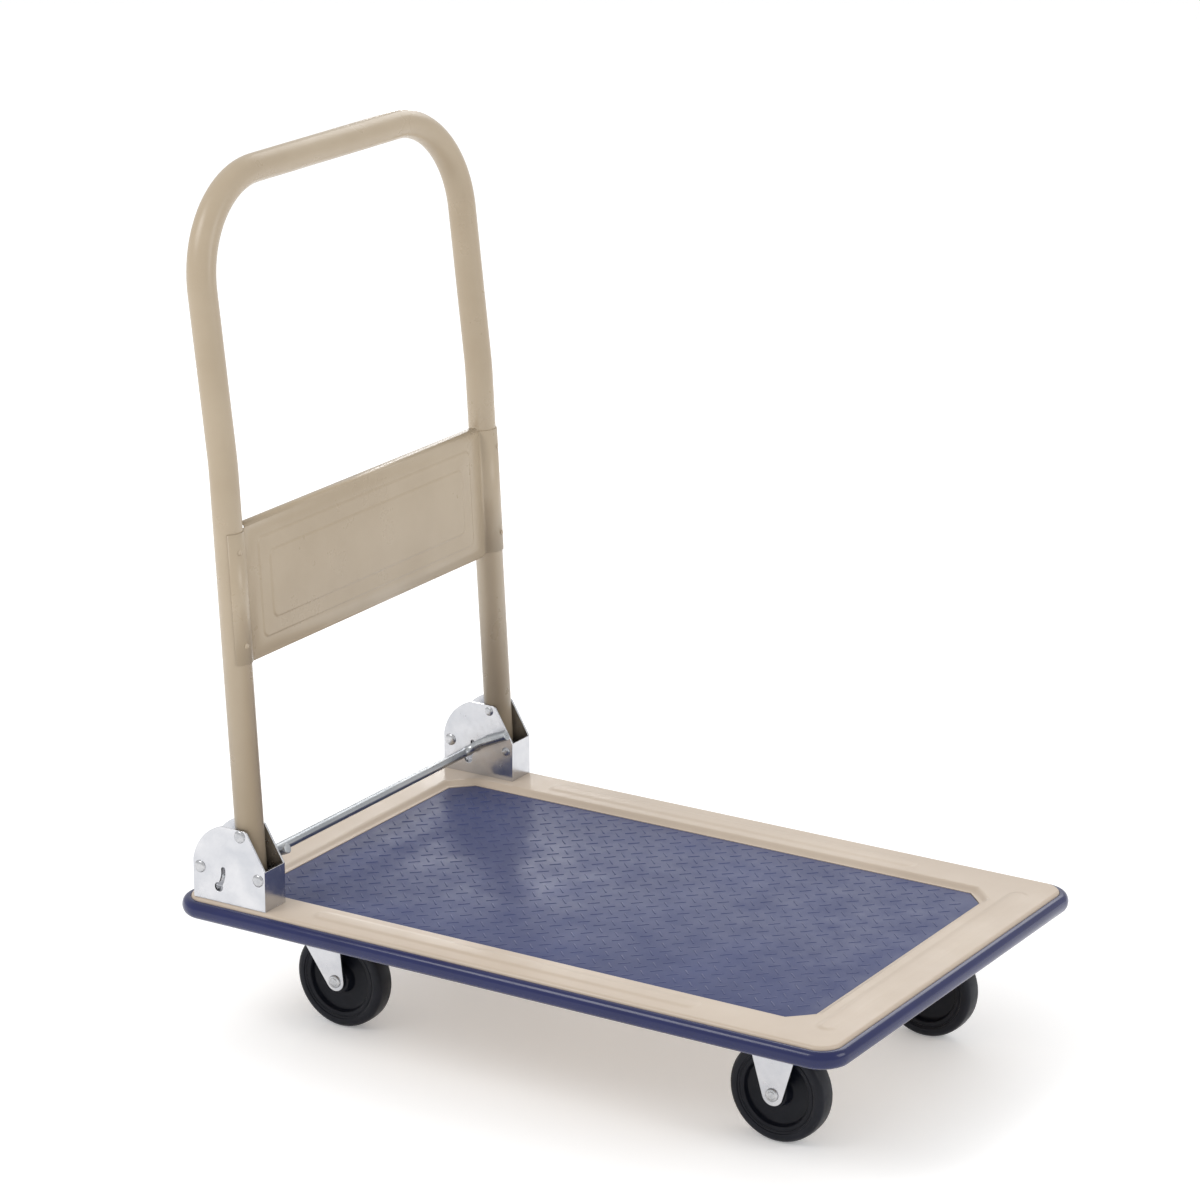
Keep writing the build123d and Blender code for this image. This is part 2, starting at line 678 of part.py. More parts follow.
def make_lock_springs():
    """Close-wound torsion springs on the rear rivets, outside the pawls."""
    bore = rivet_radius + spring_bore_gap
    pitch = 2 * spring_wire
    start = leg_centre + pawl_width / 2 + moving_gap
    with BuildPart() as lock_springs:
        for s in sides.values():
            with BuildSketch(Plane(origin=(lock_axis.X, s * start, lock_axis.Z),
                                   x_dir=(1, 0, 0), z_dir=(0, 0, s))):
                with Locations((bore + spring_wire / 2, spring_turns * pitch / 2)):
                    Rectangle(spring_wire, spring_turns * pitch)
                for turn in range(spring_turns):
                    with Locations((bore + spring_wire, (turn + 0.5) * pitch)):
                        Circle(spring_wire)
            revolve(axis=Axis((lock_axis.X, 0, lock_axis.Z), (0, 1, 0)))
            for turn, slope in ((0.5, spring_pawl_slope), (spring_turns - 0.5, spring_base_slope)):
                root = lock_point(slope + 90, bore + spring_wire)
                way = Vector(cos(radians(slope)), 0, sin(radians(slope)))
                spot = Vector(root[0], s * (start + turn * pitch), root[1])
                with BuildSketch(Plane(origin=spot, z_dir=way)):
                    Circle(spring_wire)
                extrude(amount=spring_leg)
    save(lock_springs, "lock_springs")


# ---------------------------------------------------------------- casters
def make_wheel(corner, x, y):
    with BuildPart() as tyre:
        with BuildSketch(across(x, wheel_radius, y - tyre_width / 2, 1)):
            Circle(wheel_radius)
            Circle(wheel_radius - tyre_depth, mode=Mode.SUBTRACT)
        extrude(amount=tyre_width)
        outer = [e for e in tyre.edges().filter_by(GeomType.CIRCLE) if e.radius > wheel_radius - 1]
        fillet(outer, tyre_round)
    save(tyre, f"{corner}_tyre")
    core_radius = wheel_radius - tyre_depth - snug
    with BuildPart() as core:
        with BuildSketch(across(x, wheel_radius, y - core_width / 2, 1)):
            Circle(core_radius)
            Circle(core_radius - core_rim, mode=Mode.SUBTRACT)
        extrude(amount=core_width)
        with BuildSketch(across(x, wheel_radius, y - core_web / 2, 1)):
            Circle(core_radius - core_rim / 2)
        extrude(amount=core_web)
        with BuildSketch(across(x, wheel_radius, y - hub_width / 2, 1)):
            Circle(hub_radius)
        extrude(amount=hub_width)
        with BuildSketch(across(x, wheel_radius, y - hub_width / 2, 1)):
            Circle(bush_radius + snug)
        extrude(amount=hub_width, mode=Mode.SUBTRACT)
    save(core, f"{corner}_wheel_core")
    with BuildPart() as bush:
        with BuildSketch(across(x, wheel_radius, y - bush_length / 2, 1)):
            Circle(bush_radius)
            Circle(axle_radius + running, mode=Mode.SUBTRACT)
        extrude(amount=bush_length)
    save(bush, f"{corner}_wheel_bush")


def make_axle(corner, x, y):
    with BuildPart() as axle:
        with BuildSketch(across(x, wheel_radius, y - fork_out, 1)):
            Circle(axle_radius)
        extrude(amount=2 * fork_out)
        for facing in (1, -1):
            with BuildSketch(across(x, wheel_radius, y + facing * fork_out, facing)):
                Circle(axle_head_radius)
            extrude(amount=axle_head_height)
        rims = axle.edges().filter_by(GeomType.CIRCLE).group_by(Axis.Y)
        fillet(list(rims[0]) + list(rims[-1]), axle_head_height * head_round)
    save(axle, f"{corner}_axle")


def tangent_point(centre, radius, far, side):
    """Where the line from a far point touches a circle; side picks which of the two."""
    dx, dz = far[0] - centre[0], far[1] - centre[1]
    turn = atan2(dz, dx) + side * acos(radius / hypot(dx, dz))
    return (centre[0] + radius * cos(turn), centre[1] + radius * sin(turn))


def leg_face(y, centre, radius, rear_top, front_top):
    """Side view of a fork's leg: straight edges run into the round end at the axle."""
    rear_touch = tangent_point(centre, radius, rear_top, 1)
    front_touch = tangent_point(centre, radius, front_top, -1)
    with BuildSketch(side_view(y)) as leg:
        with BuildLine():
            Line(rear_top, rear_touch)
            ThreePointArc(rear_touch, (centre[0], centre[1] - radius), front_touch)
            Polyline(front_touch, front_top, rear_top)
        make_face()
        with Locations(centre):
            Circle(axle_radius + snug, mode=Mode.SUBTRACT)
    return leg.sketch


def make_fixed_forks():
    for side, s in sides.items():
        y = s * front_track / 2
        centre = (front_axle_x, wheel_radius)
        tops = [(front_axle_x + d * fixed_leg_top, plate_bottom + fork_sheet / 2) for d in (-1, 1)]
        with BuildPart() as fork:
            with BuildSketch(Plane((front_axle_x, y, plate_bottom))):
                RectangleRounded(plate_length, plate_width, plate_corner)
                with GridLocations(plate_bolt_x, plate_bolt_y, 2, 2):
                    Circle(caster_bolt_radius + hole_clearance, mode=Mode.SUBTRACT)
            extrude(amount=fork_sheet)
            for outside in (fork_out, -fork_gap / 2):
                extrude(leg_face(y + outside, centre, fixed_boss, *tops), amount=fork_sheet)
        save(fork, f"{side}_fixed_fork")


def make_swivel_casters():
    for side, s in sides.items():
        y = s * rear_track / 2
        with BuildPart() as plate:
            with BuildSketch(Plane((kingpin_x, y, plate_bottom))):
                RectangleRounded(plate_length, plate_width, plate_corner)
                with GridLocations(plate_bolt_x, plate_bolt_y, 2, 2):
                    Circle(caster_bolt_radius + hole_clearance, mode=Mode.SUBTRACT)
            extrude(amount=fork_sheet)
            # the skirt that keeps the balls in
            with BuildSketch(Plane((kingpin_x, y, crown_top + moving_gap))):
                Circle(crown_radius)
                Circle(crown_radius - race_wall, mode=Mode.SUBTRACT)
            extrude(amount=plate_bottom - crown_top - moving_gap)
            with BuildSketch(Plane((kingpin_x, y, plate_bottom))):
                Circle(kingpin_radius + snug)
            extrude(amount=fork_sheet, mode=Mode.SUBTRACT)
        save(plate, f"{side}_swivel_plate")

        axle_x = kingpin_x + caster_trail
        centre = (axle_x, wheel_radius)
        crown_mid = crown_top - fork_sheet / 2
        tops = [(kingpin_x - crown_radius, crown_mid), (kingpin_x + crown_radius + crown_tail, crown_mid)]
        with BuildPart() as fork:
            with BuildSketch(Plane((kingpin_x, y, crown_top - fork_sheet))):
                Circle(crown_radius)
                with Locations((crown_tail / 2, 0)):
                    Rectangle(2 * crown_radius + crown_tail, 2 * fork_out)
            extrude(amount=fork_sheet)
            for outside in (fork_out, -fork_gap / 2):
                extrude(leg_face(y + outside, centre, swivel_boss, *tops), amount=fork_sheet)
            with BuildSketch(Plane((kingpin_x, y, crown_top - fork_sheet))):
                Circle(kingpin_radius + running)
            extrude(amount=fork_sheet, mode=Mode.SUBTRACT)
        save(fork, f"{side}_swivel_fork")

        tail_top = crown_top - fork_sheet - moving_gap
        with BuildPart() as kingpin:
            with BuildSketch(Plane((kingpin_x, y, tail_top))):
                Circle(kingpin_radius)
            extrude(amount=caster_height - tail_top)
            with BuildSketch(Plane((kingpin_x, y, caster_height))):
                Circle(kingpin_head_radius)
            extrude(amount=kingpin_head_height)
            with BuildSketch(Plane((kingpin_x, y, tail_top - kingpin_head_height))):
                Circle(kingpin_head_radius)
            extrude(amount=kingpin_head_height)
            rims = kingpin.edges().filter_by(GeomType.CIRCLE).group_by(Axis.Z)
            fillet(list(rims[0]) + list(rims[-1]), kingpin_head_height * head_round)
        save(kingpin, f"{side}_kingpin")

    with BuildPart() as swivel_balls:
        for s in sides.values():
            with Locations((kingpin_x, s * rear_track / 2, (plate_bottom + crown_top) / 2)):
                with PolarLocations(race_radius, ball_count):
                    Sphere(ball_radius)
    save(swivel_balls, "swivel_balls")


def make_caster_fasteners():
    spots = []
    for x, track in ((front_axle_x, front_track), (kingpin_x, rear_track)):
        spots += [(x + i * plate_bolt_x / 2, s * track / 2 + j * plate_bolt_y / 2)
                  for s in sides.values() for i in (-1, 1) for j in (-1, 1)]
    nut_seat = caster_height + channel_sheet
    with BuildPart() as bolts:
        with BuildSketch(Plane.XY.offset(plate_bottom - caster_bolt_head)):
            with Locations(*spots):
                hexagon(caster_bolt_flats)
        extrude(amount=caster_bolt_head)
        with BuildSketch(Plane.XY.offset(plate_bottom)):
            with Locations(*spots):
                Circle(caster_bolt_radius)
        extrude(amount=nut_seat + caster_nut_height + caster_bolt_tail - plate_bottom)
    save(bolts, "caster_bolts")
    with BuildPart() as nuts:
        with BuildSketch(Plane.XY.offset(nut_seat)):
            with Locations(*spots):
                hexagon(caster_bolt_flats)
                Circle(caster_bolt_radius + snug, mode=Mode.SUBTRACT)
        extrude(amount=caster_nut_height)
    save(nuts, "caster_nuts")


# ---------------------------------------------------------------- build everything
make_deck_plate()
make_deck_mat()
make_edge_bumper()
make_caster_channel("front_caster_channel", front_axle_x, 0)
make_caster_channel("rear_caster_channel", kingpin_x, kingpin_head_radius + kingpin_clearance)
make_deck_rails()
for side_name, sign in sides.items():
    make_bracket(side_name, sign)
make_bracket_rivets()
make_bracket_fasteners()
make_handle_tube()
make_handle_panel()
make_panel_rivets()
make_lock_bar()
make_pawls()
make_pawl_spacers()
make_lock_springs()
make_fixed_forks()
make_swivel_casters()
make_caster_fasteners()
for side_name, sign in sides.items():
    front_y, rear_y = sign * front_track / 2, sign * rear_track / 2
    rear_x = kingpin_x + caster_trail
    make_wheel(f"front_{side_name}", front_axle_x, front_y)
    make_axle(f"front_{side_name}", front_axle_x, front_y)
    make_wheel(f"rear_{side_name}", rear_x, rear_y)
    make_axle(f"rear_{side_name}", rear_x, rear_y)

# ---------------------------------------------------------------- what the joints need
rest_reach = (pivot + leg_up * bend_length + neck_up * neck_length) - pivot
rest_lean = degrees(atan2(-rest_reach.X, rest_reach.Z))
lie_height = deck_height + bead_height + folded_gap + tube_radius - pivot.Z
fold_range = rest_lean + degrees(acos(lie_height / hypot(rest_reach.X, rest_reach.Z)))
print(f"handle pivot x {pivot.X:.2f} z {pivot.Z:.2f}, fold 0 to {fold_range:.2f} degrees")
print(f"lock axis x {lock_axis.X:.2f} z {lock_axis.Z:.2f}, travel 0 to {lock_travel:.1f} degrees")
print(f"pin x {pin_x:.2f} z {pin_z:.2f}, stop x {stop_x:.2f} z {stop_z:.2f}")
print(f"kingpins x {kingpin_x:.2f} y {rear_track / 2:.2f}, rear axles x {rear_x:.2f}")
print(f"front axles x {front_axle_x:.2f} y {front_track / 2:.2f}")
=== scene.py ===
# %% [markdown]
# # A folding platform cart, piece by piece
# This file dresses the cart's working model: a pressed steel deck with a rubber mat and a bumper,
# a tube handle on two hinge brackets, a foot bar that locks it, and four casters. The model's own
# pieces give every place and size. Here each one is made again with the roundness, rivets, ribs
# and finishes that the real thing has, and rides on the same moving body.

# %% Load the working model
import json
from math import asin, copysign, cos, pi, radians, sin, sqrt, tan

import bmesh
import bpy
from mathutils import Matrix, Vector

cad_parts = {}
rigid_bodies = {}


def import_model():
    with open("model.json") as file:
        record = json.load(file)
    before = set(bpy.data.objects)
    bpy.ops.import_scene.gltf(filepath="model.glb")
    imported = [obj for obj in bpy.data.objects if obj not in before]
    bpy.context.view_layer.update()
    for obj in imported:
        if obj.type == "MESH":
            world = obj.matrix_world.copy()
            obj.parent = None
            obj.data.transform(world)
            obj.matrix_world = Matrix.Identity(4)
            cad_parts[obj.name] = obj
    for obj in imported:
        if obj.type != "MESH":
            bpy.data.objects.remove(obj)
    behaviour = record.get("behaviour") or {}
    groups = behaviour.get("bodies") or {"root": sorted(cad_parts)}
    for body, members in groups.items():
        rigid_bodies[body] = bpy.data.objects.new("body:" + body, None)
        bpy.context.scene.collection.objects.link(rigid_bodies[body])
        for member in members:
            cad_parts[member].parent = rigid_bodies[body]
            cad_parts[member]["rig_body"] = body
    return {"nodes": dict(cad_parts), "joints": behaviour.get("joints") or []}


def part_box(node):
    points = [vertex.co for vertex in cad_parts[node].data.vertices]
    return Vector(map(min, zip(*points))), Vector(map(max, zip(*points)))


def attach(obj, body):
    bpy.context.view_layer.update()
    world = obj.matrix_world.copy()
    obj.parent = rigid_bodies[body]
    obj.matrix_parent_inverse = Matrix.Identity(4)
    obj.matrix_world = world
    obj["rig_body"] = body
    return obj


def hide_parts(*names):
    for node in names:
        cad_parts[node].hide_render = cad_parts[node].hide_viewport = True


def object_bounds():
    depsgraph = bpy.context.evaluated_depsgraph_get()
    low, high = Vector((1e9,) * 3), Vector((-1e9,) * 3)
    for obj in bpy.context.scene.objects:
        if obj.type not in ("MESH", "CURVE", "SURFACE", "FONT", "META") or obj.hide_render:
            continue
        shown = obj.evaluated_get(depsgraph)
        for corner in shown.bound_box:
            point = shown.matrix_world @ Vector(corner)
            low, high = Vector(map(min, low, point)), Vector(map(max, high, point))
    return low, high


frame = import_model()
model_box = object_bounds()
nodes = frame["nodes"]
joints = {joint["name"]: joint for joint in frame["joints"]}
scene = bpy.context.scene
mm = 0.001
print("pieces in the working model:", len(nodes))
print("its size in mm:", [round((high - low) / mm) for low, high in zip(*model_box)])

# %% [markdown]
# ## Camera
# A long lens some four metres away keeps the deck's edges nearly parallel, as in a catalogue
# view. The camera is placed by two angles round the cart and a distance, so it is easy to move.

# %% Camera
camera_turn = radians(31.96)          # round the cart, from the side
camera_rise = radians(17.58)          # above the horizon
camera_distance = 4.2
camera_lens = 132.35                  # millimetres
camera_aim = Vector((-0.0245, -0.0079, 0.4397))

away = Vector((sin(camera_turn) * cos(camera_rise), -cos(camera_turn) * cos(camera_rise),
               sin(camera_rise)))
camera = bpy.data.objects.new("camera", bpy.data.cameras.new("camera"))
camera.data.sensor_width = 36.0
camera.data.lens = camera_lens
camera.data.clip_end = 100.0
camera.location = camera_aim + away * camera_distance
camera.rotation_mode = "QUATERNION"
camera.rotation_quaternion = (-away).to_track_quat("-Z", "Y")
scene.collection.objects.link(camera)
scene.camera = camera
print("camera at", [round(x, 3) for x in camera.location])

# %% [markdown]
# ## Floor and light
# The cart stands on a plain white floor under an even white sky, which fills the shadows. Three
# large soft lamps give the sheet metal and the gloss something to mirror: one high at the left,
# one low at the right, one behind. A small fourth one glints in the mat. The plain view transform
# keeps paint colours as they are mixed.

# %% Floor, sky and lamps
floor_bm = bmesh.new()
bmesh.ops.create_grid(floor_bm, x_segments=1, y_segments=1, size=30.0)
floor = bpy.data.objects.new("floor", bpy.data.meshes.new("floor"))
floor_bm.to_mesh(floor.data)
floor_bm.free()
scene.collection.objects.link(floor)

floor_paint = bpy.data.materials.new("floor_white")
floor_paint.use_nodes = True
floor_shader = floor_paint.node_tree.nodes["Principled BSDF"]
floor_shader.inputs["Base Color"].default_value = (0.93, 0.93, 0.93, 1)
floor_shader.inputs["Roughness"].default_value = 0.9
floor_shader.inputs["Specular IOR Level"].default_value = 0.1
floor_shader.inputs["Emission Color"].default_value = (1, 1, 1, 1)
floor_shader.inputs["Emission Strength"].default_value = 0.22      # keeps its shadows pale
floor.data.materials.append(floor_paint)

world = bpy.data.worlds.new("white_sky")
world.use_nodes = True
world.node_tree.nodes["Background"].inputs["Color"].default_value = (1, 1, 1, 1)
world.node_tree.nodes["Background"].inputs["Strength"].default_value = 0.82
scene.world = world
scene.view_settings.view_transform = "Standard"
scene.view_settings.look = "None"


def softbox(name, spot, aim, size, power):
    """A square area lamp that faces a point."""
    lamp = bpy.data.objects.new(name, bpy.data.lights.new(name, "AREA"))
    lamp.data.size = size
    lamp.data.energy = power
    lamp.location = spot
    lamp.rotation_mode = "QUATERNION"
    lamp.rotation_quaternion = (Vector(aim) - Vector(spot)).to_track_quat("-Z", "Y")
    scene.collection.objects.link(lamp)


softbox("key_lamp", (-1.6, -2.4, 3.2), (0, 0, 0.2), 1.8, 50)
softbox("side_lamp", (3.0, 0.6, 1.6), (0, 0, 0.3), 1.4, 18)
softbox("back_lamp", (-0.8, 3.2, 2.6), (0, 0, 0.3), 2.0, 24)
softbox("glint_lamp", (-1.61, 2.11, 0.9), (-0.3, 0.1, 0.14), 0.3, 2.6)

# %% [markdown]
# ## Effects that several finishes share
# Real surfaces are never one even colour. Four small effects are built once as node groups and
# used by every finish with its own numbers: slow clouds of tone, a fine grain, worn edges and
# dust on faces that look up. A group puts out only a mask or a height. All of them read Object
# coordinates, in metres, so a pattern keeps its real size and moves with its piece.

# %% Helpers for node trees
def add_node(tree, kind, **settings):
    """Add a node; settings are its properties, or its inputs by name."""
    made = tree.nodes.new(kind)
    for name, value in settings.items():
        if hasattr(made, name):
            setattr(made, name, value)
        else:
            made.inputs[name.replace("_", " ")].default_value = value
    return made


def new_group(name, inputs, output):
    """A node group with number inputs and one number output."""
    group = bpy.data.node_groups.new(name, "ShaderNodeTree")
    for label, value in inputs.items():
        socket = group.interface.new_socket(label, in_out="INPUT", socket_type="NodeSocketFloat")
        socket.default_value = value
    group.interface.new_socket(output, in_out="OUTPUT", socket_type="NodeSocketFloat")
    return group, group.nodes.new("NodeGroupInput"), group.nodes.new("NodeGroupOutput")


def sized_noise(group, start, detail, stretch=(1, 1, 1)):
    """Noise whose clouds are as large as the group's Size input, in millimetres."""
    place = add_node(group, "ShaderNodeTexCoord")
    mapping = add_node(group, "ShaderNodeMapping")
    mapping.inputs["Scale"].default_value = stretch
    per_metre = add_node(group, "ShaderNodeMath", operation="DIVIDE")
    per_metre.inputs[0].default_value = 1 / mm
    noise = add_node(group, "ShaderNodeTexNoise", Detail=detail, Roughness=0.6)
    group.links.new(place.outputs["Object"], mapping.inputs["Vector"])
    group.links.new(mapping.outputs["Vector"], noise.inputs["Vector"])
    group.links.new(start.outputs["Size"], per_metre.inputs[1])
    group.links.new(per_metre.outputs[0], noise.inputs["Scale"])
    return noise


# %% Clouds, streaks and grain
def clouds_group(name, stretch):
    group, start, end = new_group(name, {"Size": 60.0, "Low": 0.0, "High": 1.0}, "Value")
    noise = sized_noise(group, start, 4.0, stretch)
    spread = add_node(group, "ShaderNodeMapRange")
    spread.inputs["From Min"].default_value = 0.32
    spread.inputs["From Max"].default_value = 0.68
    group.links.new(noise.outputs["Fac"], spread.inputs["Value"])
    group.links.new(start.outputs["Low"], spread.inputs["To Min"])
    group.links.new(start.outputs["High"], spread.inputs["To Max"])
    group.links.new(spread.outputs["Result"], end.inputs["Value"])
    return group


def grain_group():
    group, start, end = new_group("fine_grain", {"Size": 1.0, "Depth": 0.02}, "Height")
    noise = sized_noise(group, start, 2.0)
    depth = add_node(group, "ShaderNodeMath", operation="MULTIPLY")
    metres = add_node(group, "ShaderNodeMath", operation="MULTIPLY")
    metres.inputs[1].default_value = mm
    group.links.new(noise.outputs["Fac"], depth.inputs[0])
    group.links.new(start.outputs["Depth"], depth.inputs[1])
    group.links.new(depth.outputs[0], metres.inputs[0])
    group.links.new(metres.outputs[0], end.inputs["Height"])
    return group


clouds = clouds_group("clouds", (1, 1, 1))
streaks = clouds_group("streaks", (1, 0.12, 1))
grain = grain_group()


# %% Worn edges and dust
def edge_wear_group():
    """Finds edges where a rounded normal leaves the true one, broken up by noise."""
    group, start, end = new_group("edge_wear", {"Size": 6.0, "Amount": 1.0}, "Mask")
    rounded = add_node(group, "ShaderNodeBevel", samples=4)
    rounded.inputs["Radius"].default_value = 0.9 * mm
    geometry = add_node(group, "ShaderNodeNewGeometry")
    dot = add_node(group, "ShaderNodeVectorMath", operation="DOT_PRODUCT")
    edge = add_node(group, "ShaderNodeMapRange")
    edge.inputs["From Min"].default_value = 0.97
    edge.inputs["From Max"].default_value = 0.75
    noise = sized_noise(group, start, 4.0)
    broken = add_node(group, "ShaderNodeMath", operation="MULTIPLY")
    scaled = add_node(group, "ShaderNodeMath", operation="MULTIPLY", use_clamp=True)
    group.links.new(rounded.outputs["Normal"], dot.inputs[0])
    group.links.new(geometry.outputs["Normal"], dot.inputs[1])
    group.links.new(dot.outputs["Value"], edge.inputs["Value"])
    group.links.new(edge.outputs["Result"], broken.inputs[0])
    group.links.new(noise.outputs["Fac"], broken.inputs[1])
    group.links.new(broken.outputs[0], scaled.inputs[0])
    group.links.new(start.outputs["Amount"], scaled.inputs[1])
    group.links.new(scaled.outputs[0], end.inputs["Mask"])
    return group


def dust_group():
    """Faces that look up, in patches."""
    group, start, end = new_group("dust", {"Size": 25.0, "Amount": 0.3}, "Mask")
    geometry = add_node(group, "ShaderNodeNewGeometry")
    parts = add_node(group, "ShaderNodeSeparateXYZ")
    upward = add_node(group, "ShaderNodeMapRange")
    upward.inputs["From Min"].default_value = 0.2
    noise = sized_noise(group, start, 5.0)
    patches = add_node(group, "ShaderNodeMath", operation="MULTIPLY")
    scaled = add_node(group, "ShaderNodeMath", operation="MULTIPLY", use_clamp=True)
    group.links.new(geometry.outputs["Normal"], parts.inputs["Vector"])
    group.links.new(parts.outputs["Z"], upward.inputs["Value"])
    group.links.new(upward.outputs["Result"], patches.inputs[0])
    group.links.new(noise.outputs["Fac"], patches.inputs[1])
    group.links.new(patches.outputs[0], scaled.inputs[0])
    group.links.new(start.outputs["Amount"], scaled.inputs[1])
    group.links.new(scaled.outputs[0], end.inputs["Mask"])
    return group


edge_wear = edge_wear_group()
dust = dust_group()
print("shared effects:", [g.name for g in bpy.data.node_groups])

# %% [markdown]
# ## Finishes
# Each finish is one material named after the part of the cart it covers. One function wires the
# shared effects into a shader; the calls below it say how each finish differs. The shader itself
# and every number that stays the same all over the surface sit in the material.

# %% One way to wire a finish
materials = {}


def effect(tree, group, **values):
    """Place a shared effect with its own numbers and return its output."""
    made = tree.nodes.new("ShaderNodeGroup")
    made.node_tree = group
    for name, value in values.items():
        made.inputs[name].default_value = value
    return made.outputs[0]


def tone(tree, mask, low, high):
    """Mix two colours by a mask; either may be a socket."""
    mix = add_node(tree, "ShaderNodeMix", data_type="RGBA")
    tree.links.new(mask, mix.inputs["Factor"])
    for socket, colour in ((mix.inputs[6], low), (mix.inputs[7], high)):
        if isinstance(colour, tuple):
            socket.default_value = (*colour, 1)
        else:
            tree.links.new(colour, socket)
    return mix.outputs[2]


def make_finish(slot, dark, light, rough, cloud_size, grain_size, grain_depth, cloud=clouds,
                worn=None, wear=0.0, dusty=0.0, metal=0.0, coat=0.0, specular=0.5):
    """A material from two colours, a range of roughness and the shared effects."""
    made = bpy.data.materials.new(slot + "_finish")
    made.use_nodes = True
    tree = made.node_tree
    shader = tree.nodes["Principled BSDF"]
    colour = tone(tree, effect(tree, cloud, Size=cloud_size, Low=0.0, High=1.0), dark, light)
    if worn:
        colour = tone(tree, effect(tree, edge_wear, Size=6.0, Amount=wear), colour, worn)
    if dusty:
        colour = tone(tree, effect(tree, dust, Size=25.0, Amount=dusty), colour, (0.35, 0.33, 0.3))
    tree.links.new(colour, shader.inputs["Base Color"])
    roughness = effect(tree, cloud, Size=cloud_size * 0.37, Low=rough[0], High=rough[1])
    tree.links.new(roughness, shader.inputs["Roughness"])
    bump = add_node(tree, "ShaderNodeBump", Distance=1.0, Strength=1.0)
    tree.links.new(effect(tree, grain, Size=grain_size, Depth=grain_depth), bump.inputs["Height"])
    tree.links.new(bump.outputs["Normal"], shader.inputs["Normal"])
    shader.inputs["Metallic"].default_value = metal
    shader.inputs["Coat Weight"].default_value = coat
    shader.inputs["Coat Roughness"].default_value = 0.12
    shader.inputs["Specular IOR Level"].default_value = specular
    materials[slot] = made


# %% Paint, rubber and plastic
make_finish("deck_paint", (0.475, 0.388, 0.305), (0.52, 0.43, 0.34), (0.30, 0.42), 150, 1.6, 0.012,
            worn=(0.36, 0.29, 0.22), wear=0.5)
make_finish("handle_paint", (0.405, 0.325, 0.228), (0.45, 0.368, 0.265), (0.26, 0.38), 120, 1.6, 0.010)
make_finish("blue_mat", (0.034, 0.045, 0.128), (0.044, 0.057, 0.152), (0.36, 0.52), 90, 0.5, 0.02,
            dusty=0.015, specular=0.32)
make_finish("blue_bumper", (0.006, 0.010, 0.066), (0.009, 0.014, 0.084), (0.14, 0.24), 90, 3.0, 0.02,
            coat=0.05, specular=0.42)
make_finish("black_tyre", (0.004, 0.005, 0.009), (0.008, 0.009, 0.015), (0.34, 0.48), 18, 0.35, 0.02,
            dusty=0.015, specular=0.22)
make_finish("black_core", (0.003, 0.004, 0.008), (0.006, 0.007, 0.012), (0.30, 0.44), 25, 0.5, 0.02,
            dusty=0.01, specular=0.2)

# %% Plated and bare steel
make_finish("zinc_sheet", (0.52, 0.53, 0.56), (0.64, 0.64, 0.66), (0.15, 0.28), 30, 1.2, 0.003,
            worn=(0.8, 0.8, 0.8), wear=0.5, metal=1.0)
make_finish("zinc_rod", (0.34, 0.36, 0.38), (0.50, 0.51, 0.52), (0.22, 0.40), 14, 0.9, 0.008,
            cloud=streaks, metal=1.0)
make_finish("zinc_fastener", (0.42, 0.43, 0.45), (0.56, 0.56, 0.57), (0.20, 0.34), 6, 0.8, 0.004,
            worn=(0.9, 0.9, 0.88), wear=0.5, metal=1.0)
make_finish("spring_steel", (0.20, 0.20, 0.21), (0.34, 0.34, 0.35), (0.28, 0.42), 5, 0.6, 0.008,
            metal=1.0)
print("finishes:", sorted(materials))

# %% [markdown]
# ## Turning a mesh into a piece
# Every piece below is shaped in a bmesh and finished the same way: doubles merged, faces turned
# outwards, smooth shading broken only at true edges. It then takes its finish, rides on the body
# that moves it, and stands for the plain piece of the working model. Its object stays at the
# origin, with its place in its mesh, so patterns don't slide.

# %% Finish a piece
def finish_piece(name, bm, slot, stands_for, sharp_above=35.0, faces=None):
    """Make a named object from a bmesh; it rides on the body of the model pieces it replaces.
    An open sheet is told which way its largest face looks."""
    bmesh.ops.remove_doubles(bm, verts=bm.verts, dist=0.001 * mm)
    bmesh.ops.recalc_face_normals(bm, faces=bm.faces)
    if faces and max(bm.faces, key=lambda f: f.calc_area()).normal.dot(faces) < 0:
        bmesh.ops.reverse_faces(bm, faces=bm.faces)
    mesh = bpy.data.meshes.new(name)
    bm.to_mesh(mesh)
    bm.free()
    for face in mesh.polygons:
        face.use_smooth = True
    mesh.set_sharp_from_angle(angle=radians(sharp_above))
    mesh.materials.append(materials[slot])
    made = bpy.data.objects.new(name, mesh)
    scene.collection.objects.link(made)
    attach(made, nodes[stands_for[0]]["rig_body"])
    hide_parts(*stands_for)
    return made


def middle_of(node):
    """The middle of a model piece's box."""
    low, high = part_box(node)
    return (low + high) / 2


sides = {"left": 1, "right": -1}

# %% [markdown]
# ## Loops for pressed sheet
# A pressed deck, a mat and a moulded strip are all the same idea: closed loops, one after the
# other, joined by faces. A loop starts as a circle whose four quarters are pushed apart into a
# rectangle with round corners. A second number pulls each corner's arc straight, which gives the
# cut corners of the mat and its recess. Each next loop is extruded from the last, and every point
# remembers its number round the loop, so that it can find its own new place.

# %% Loop helpers
corner_steps = 8


def loop_spot(number, half_x, half_y, corner, z, cut=0.0, x=0.0):
    """Where a numbered point of a loop lies. cut runs from 0, a round corner, to 1, cut straight."""
    half_step = pi / 4 / corner_steps
    angle = (2 * number + 1) * half_step
    right, far = copysign(1, cos(angle)), copysign(1, sin(angle))
    reach = corner / (abs(cos(angle)) + abs(sin(angle))) ** cut / cos(half_step)
    reach_x = max(-corner, min(corner, reach * cos(angle)))
    reach_y = max(-corner, min(corner, reach * sin(angle)))
    return Vector((x + right * (half_x - corner) + reach_x, far * (half_y - corner) + reach_y, z))


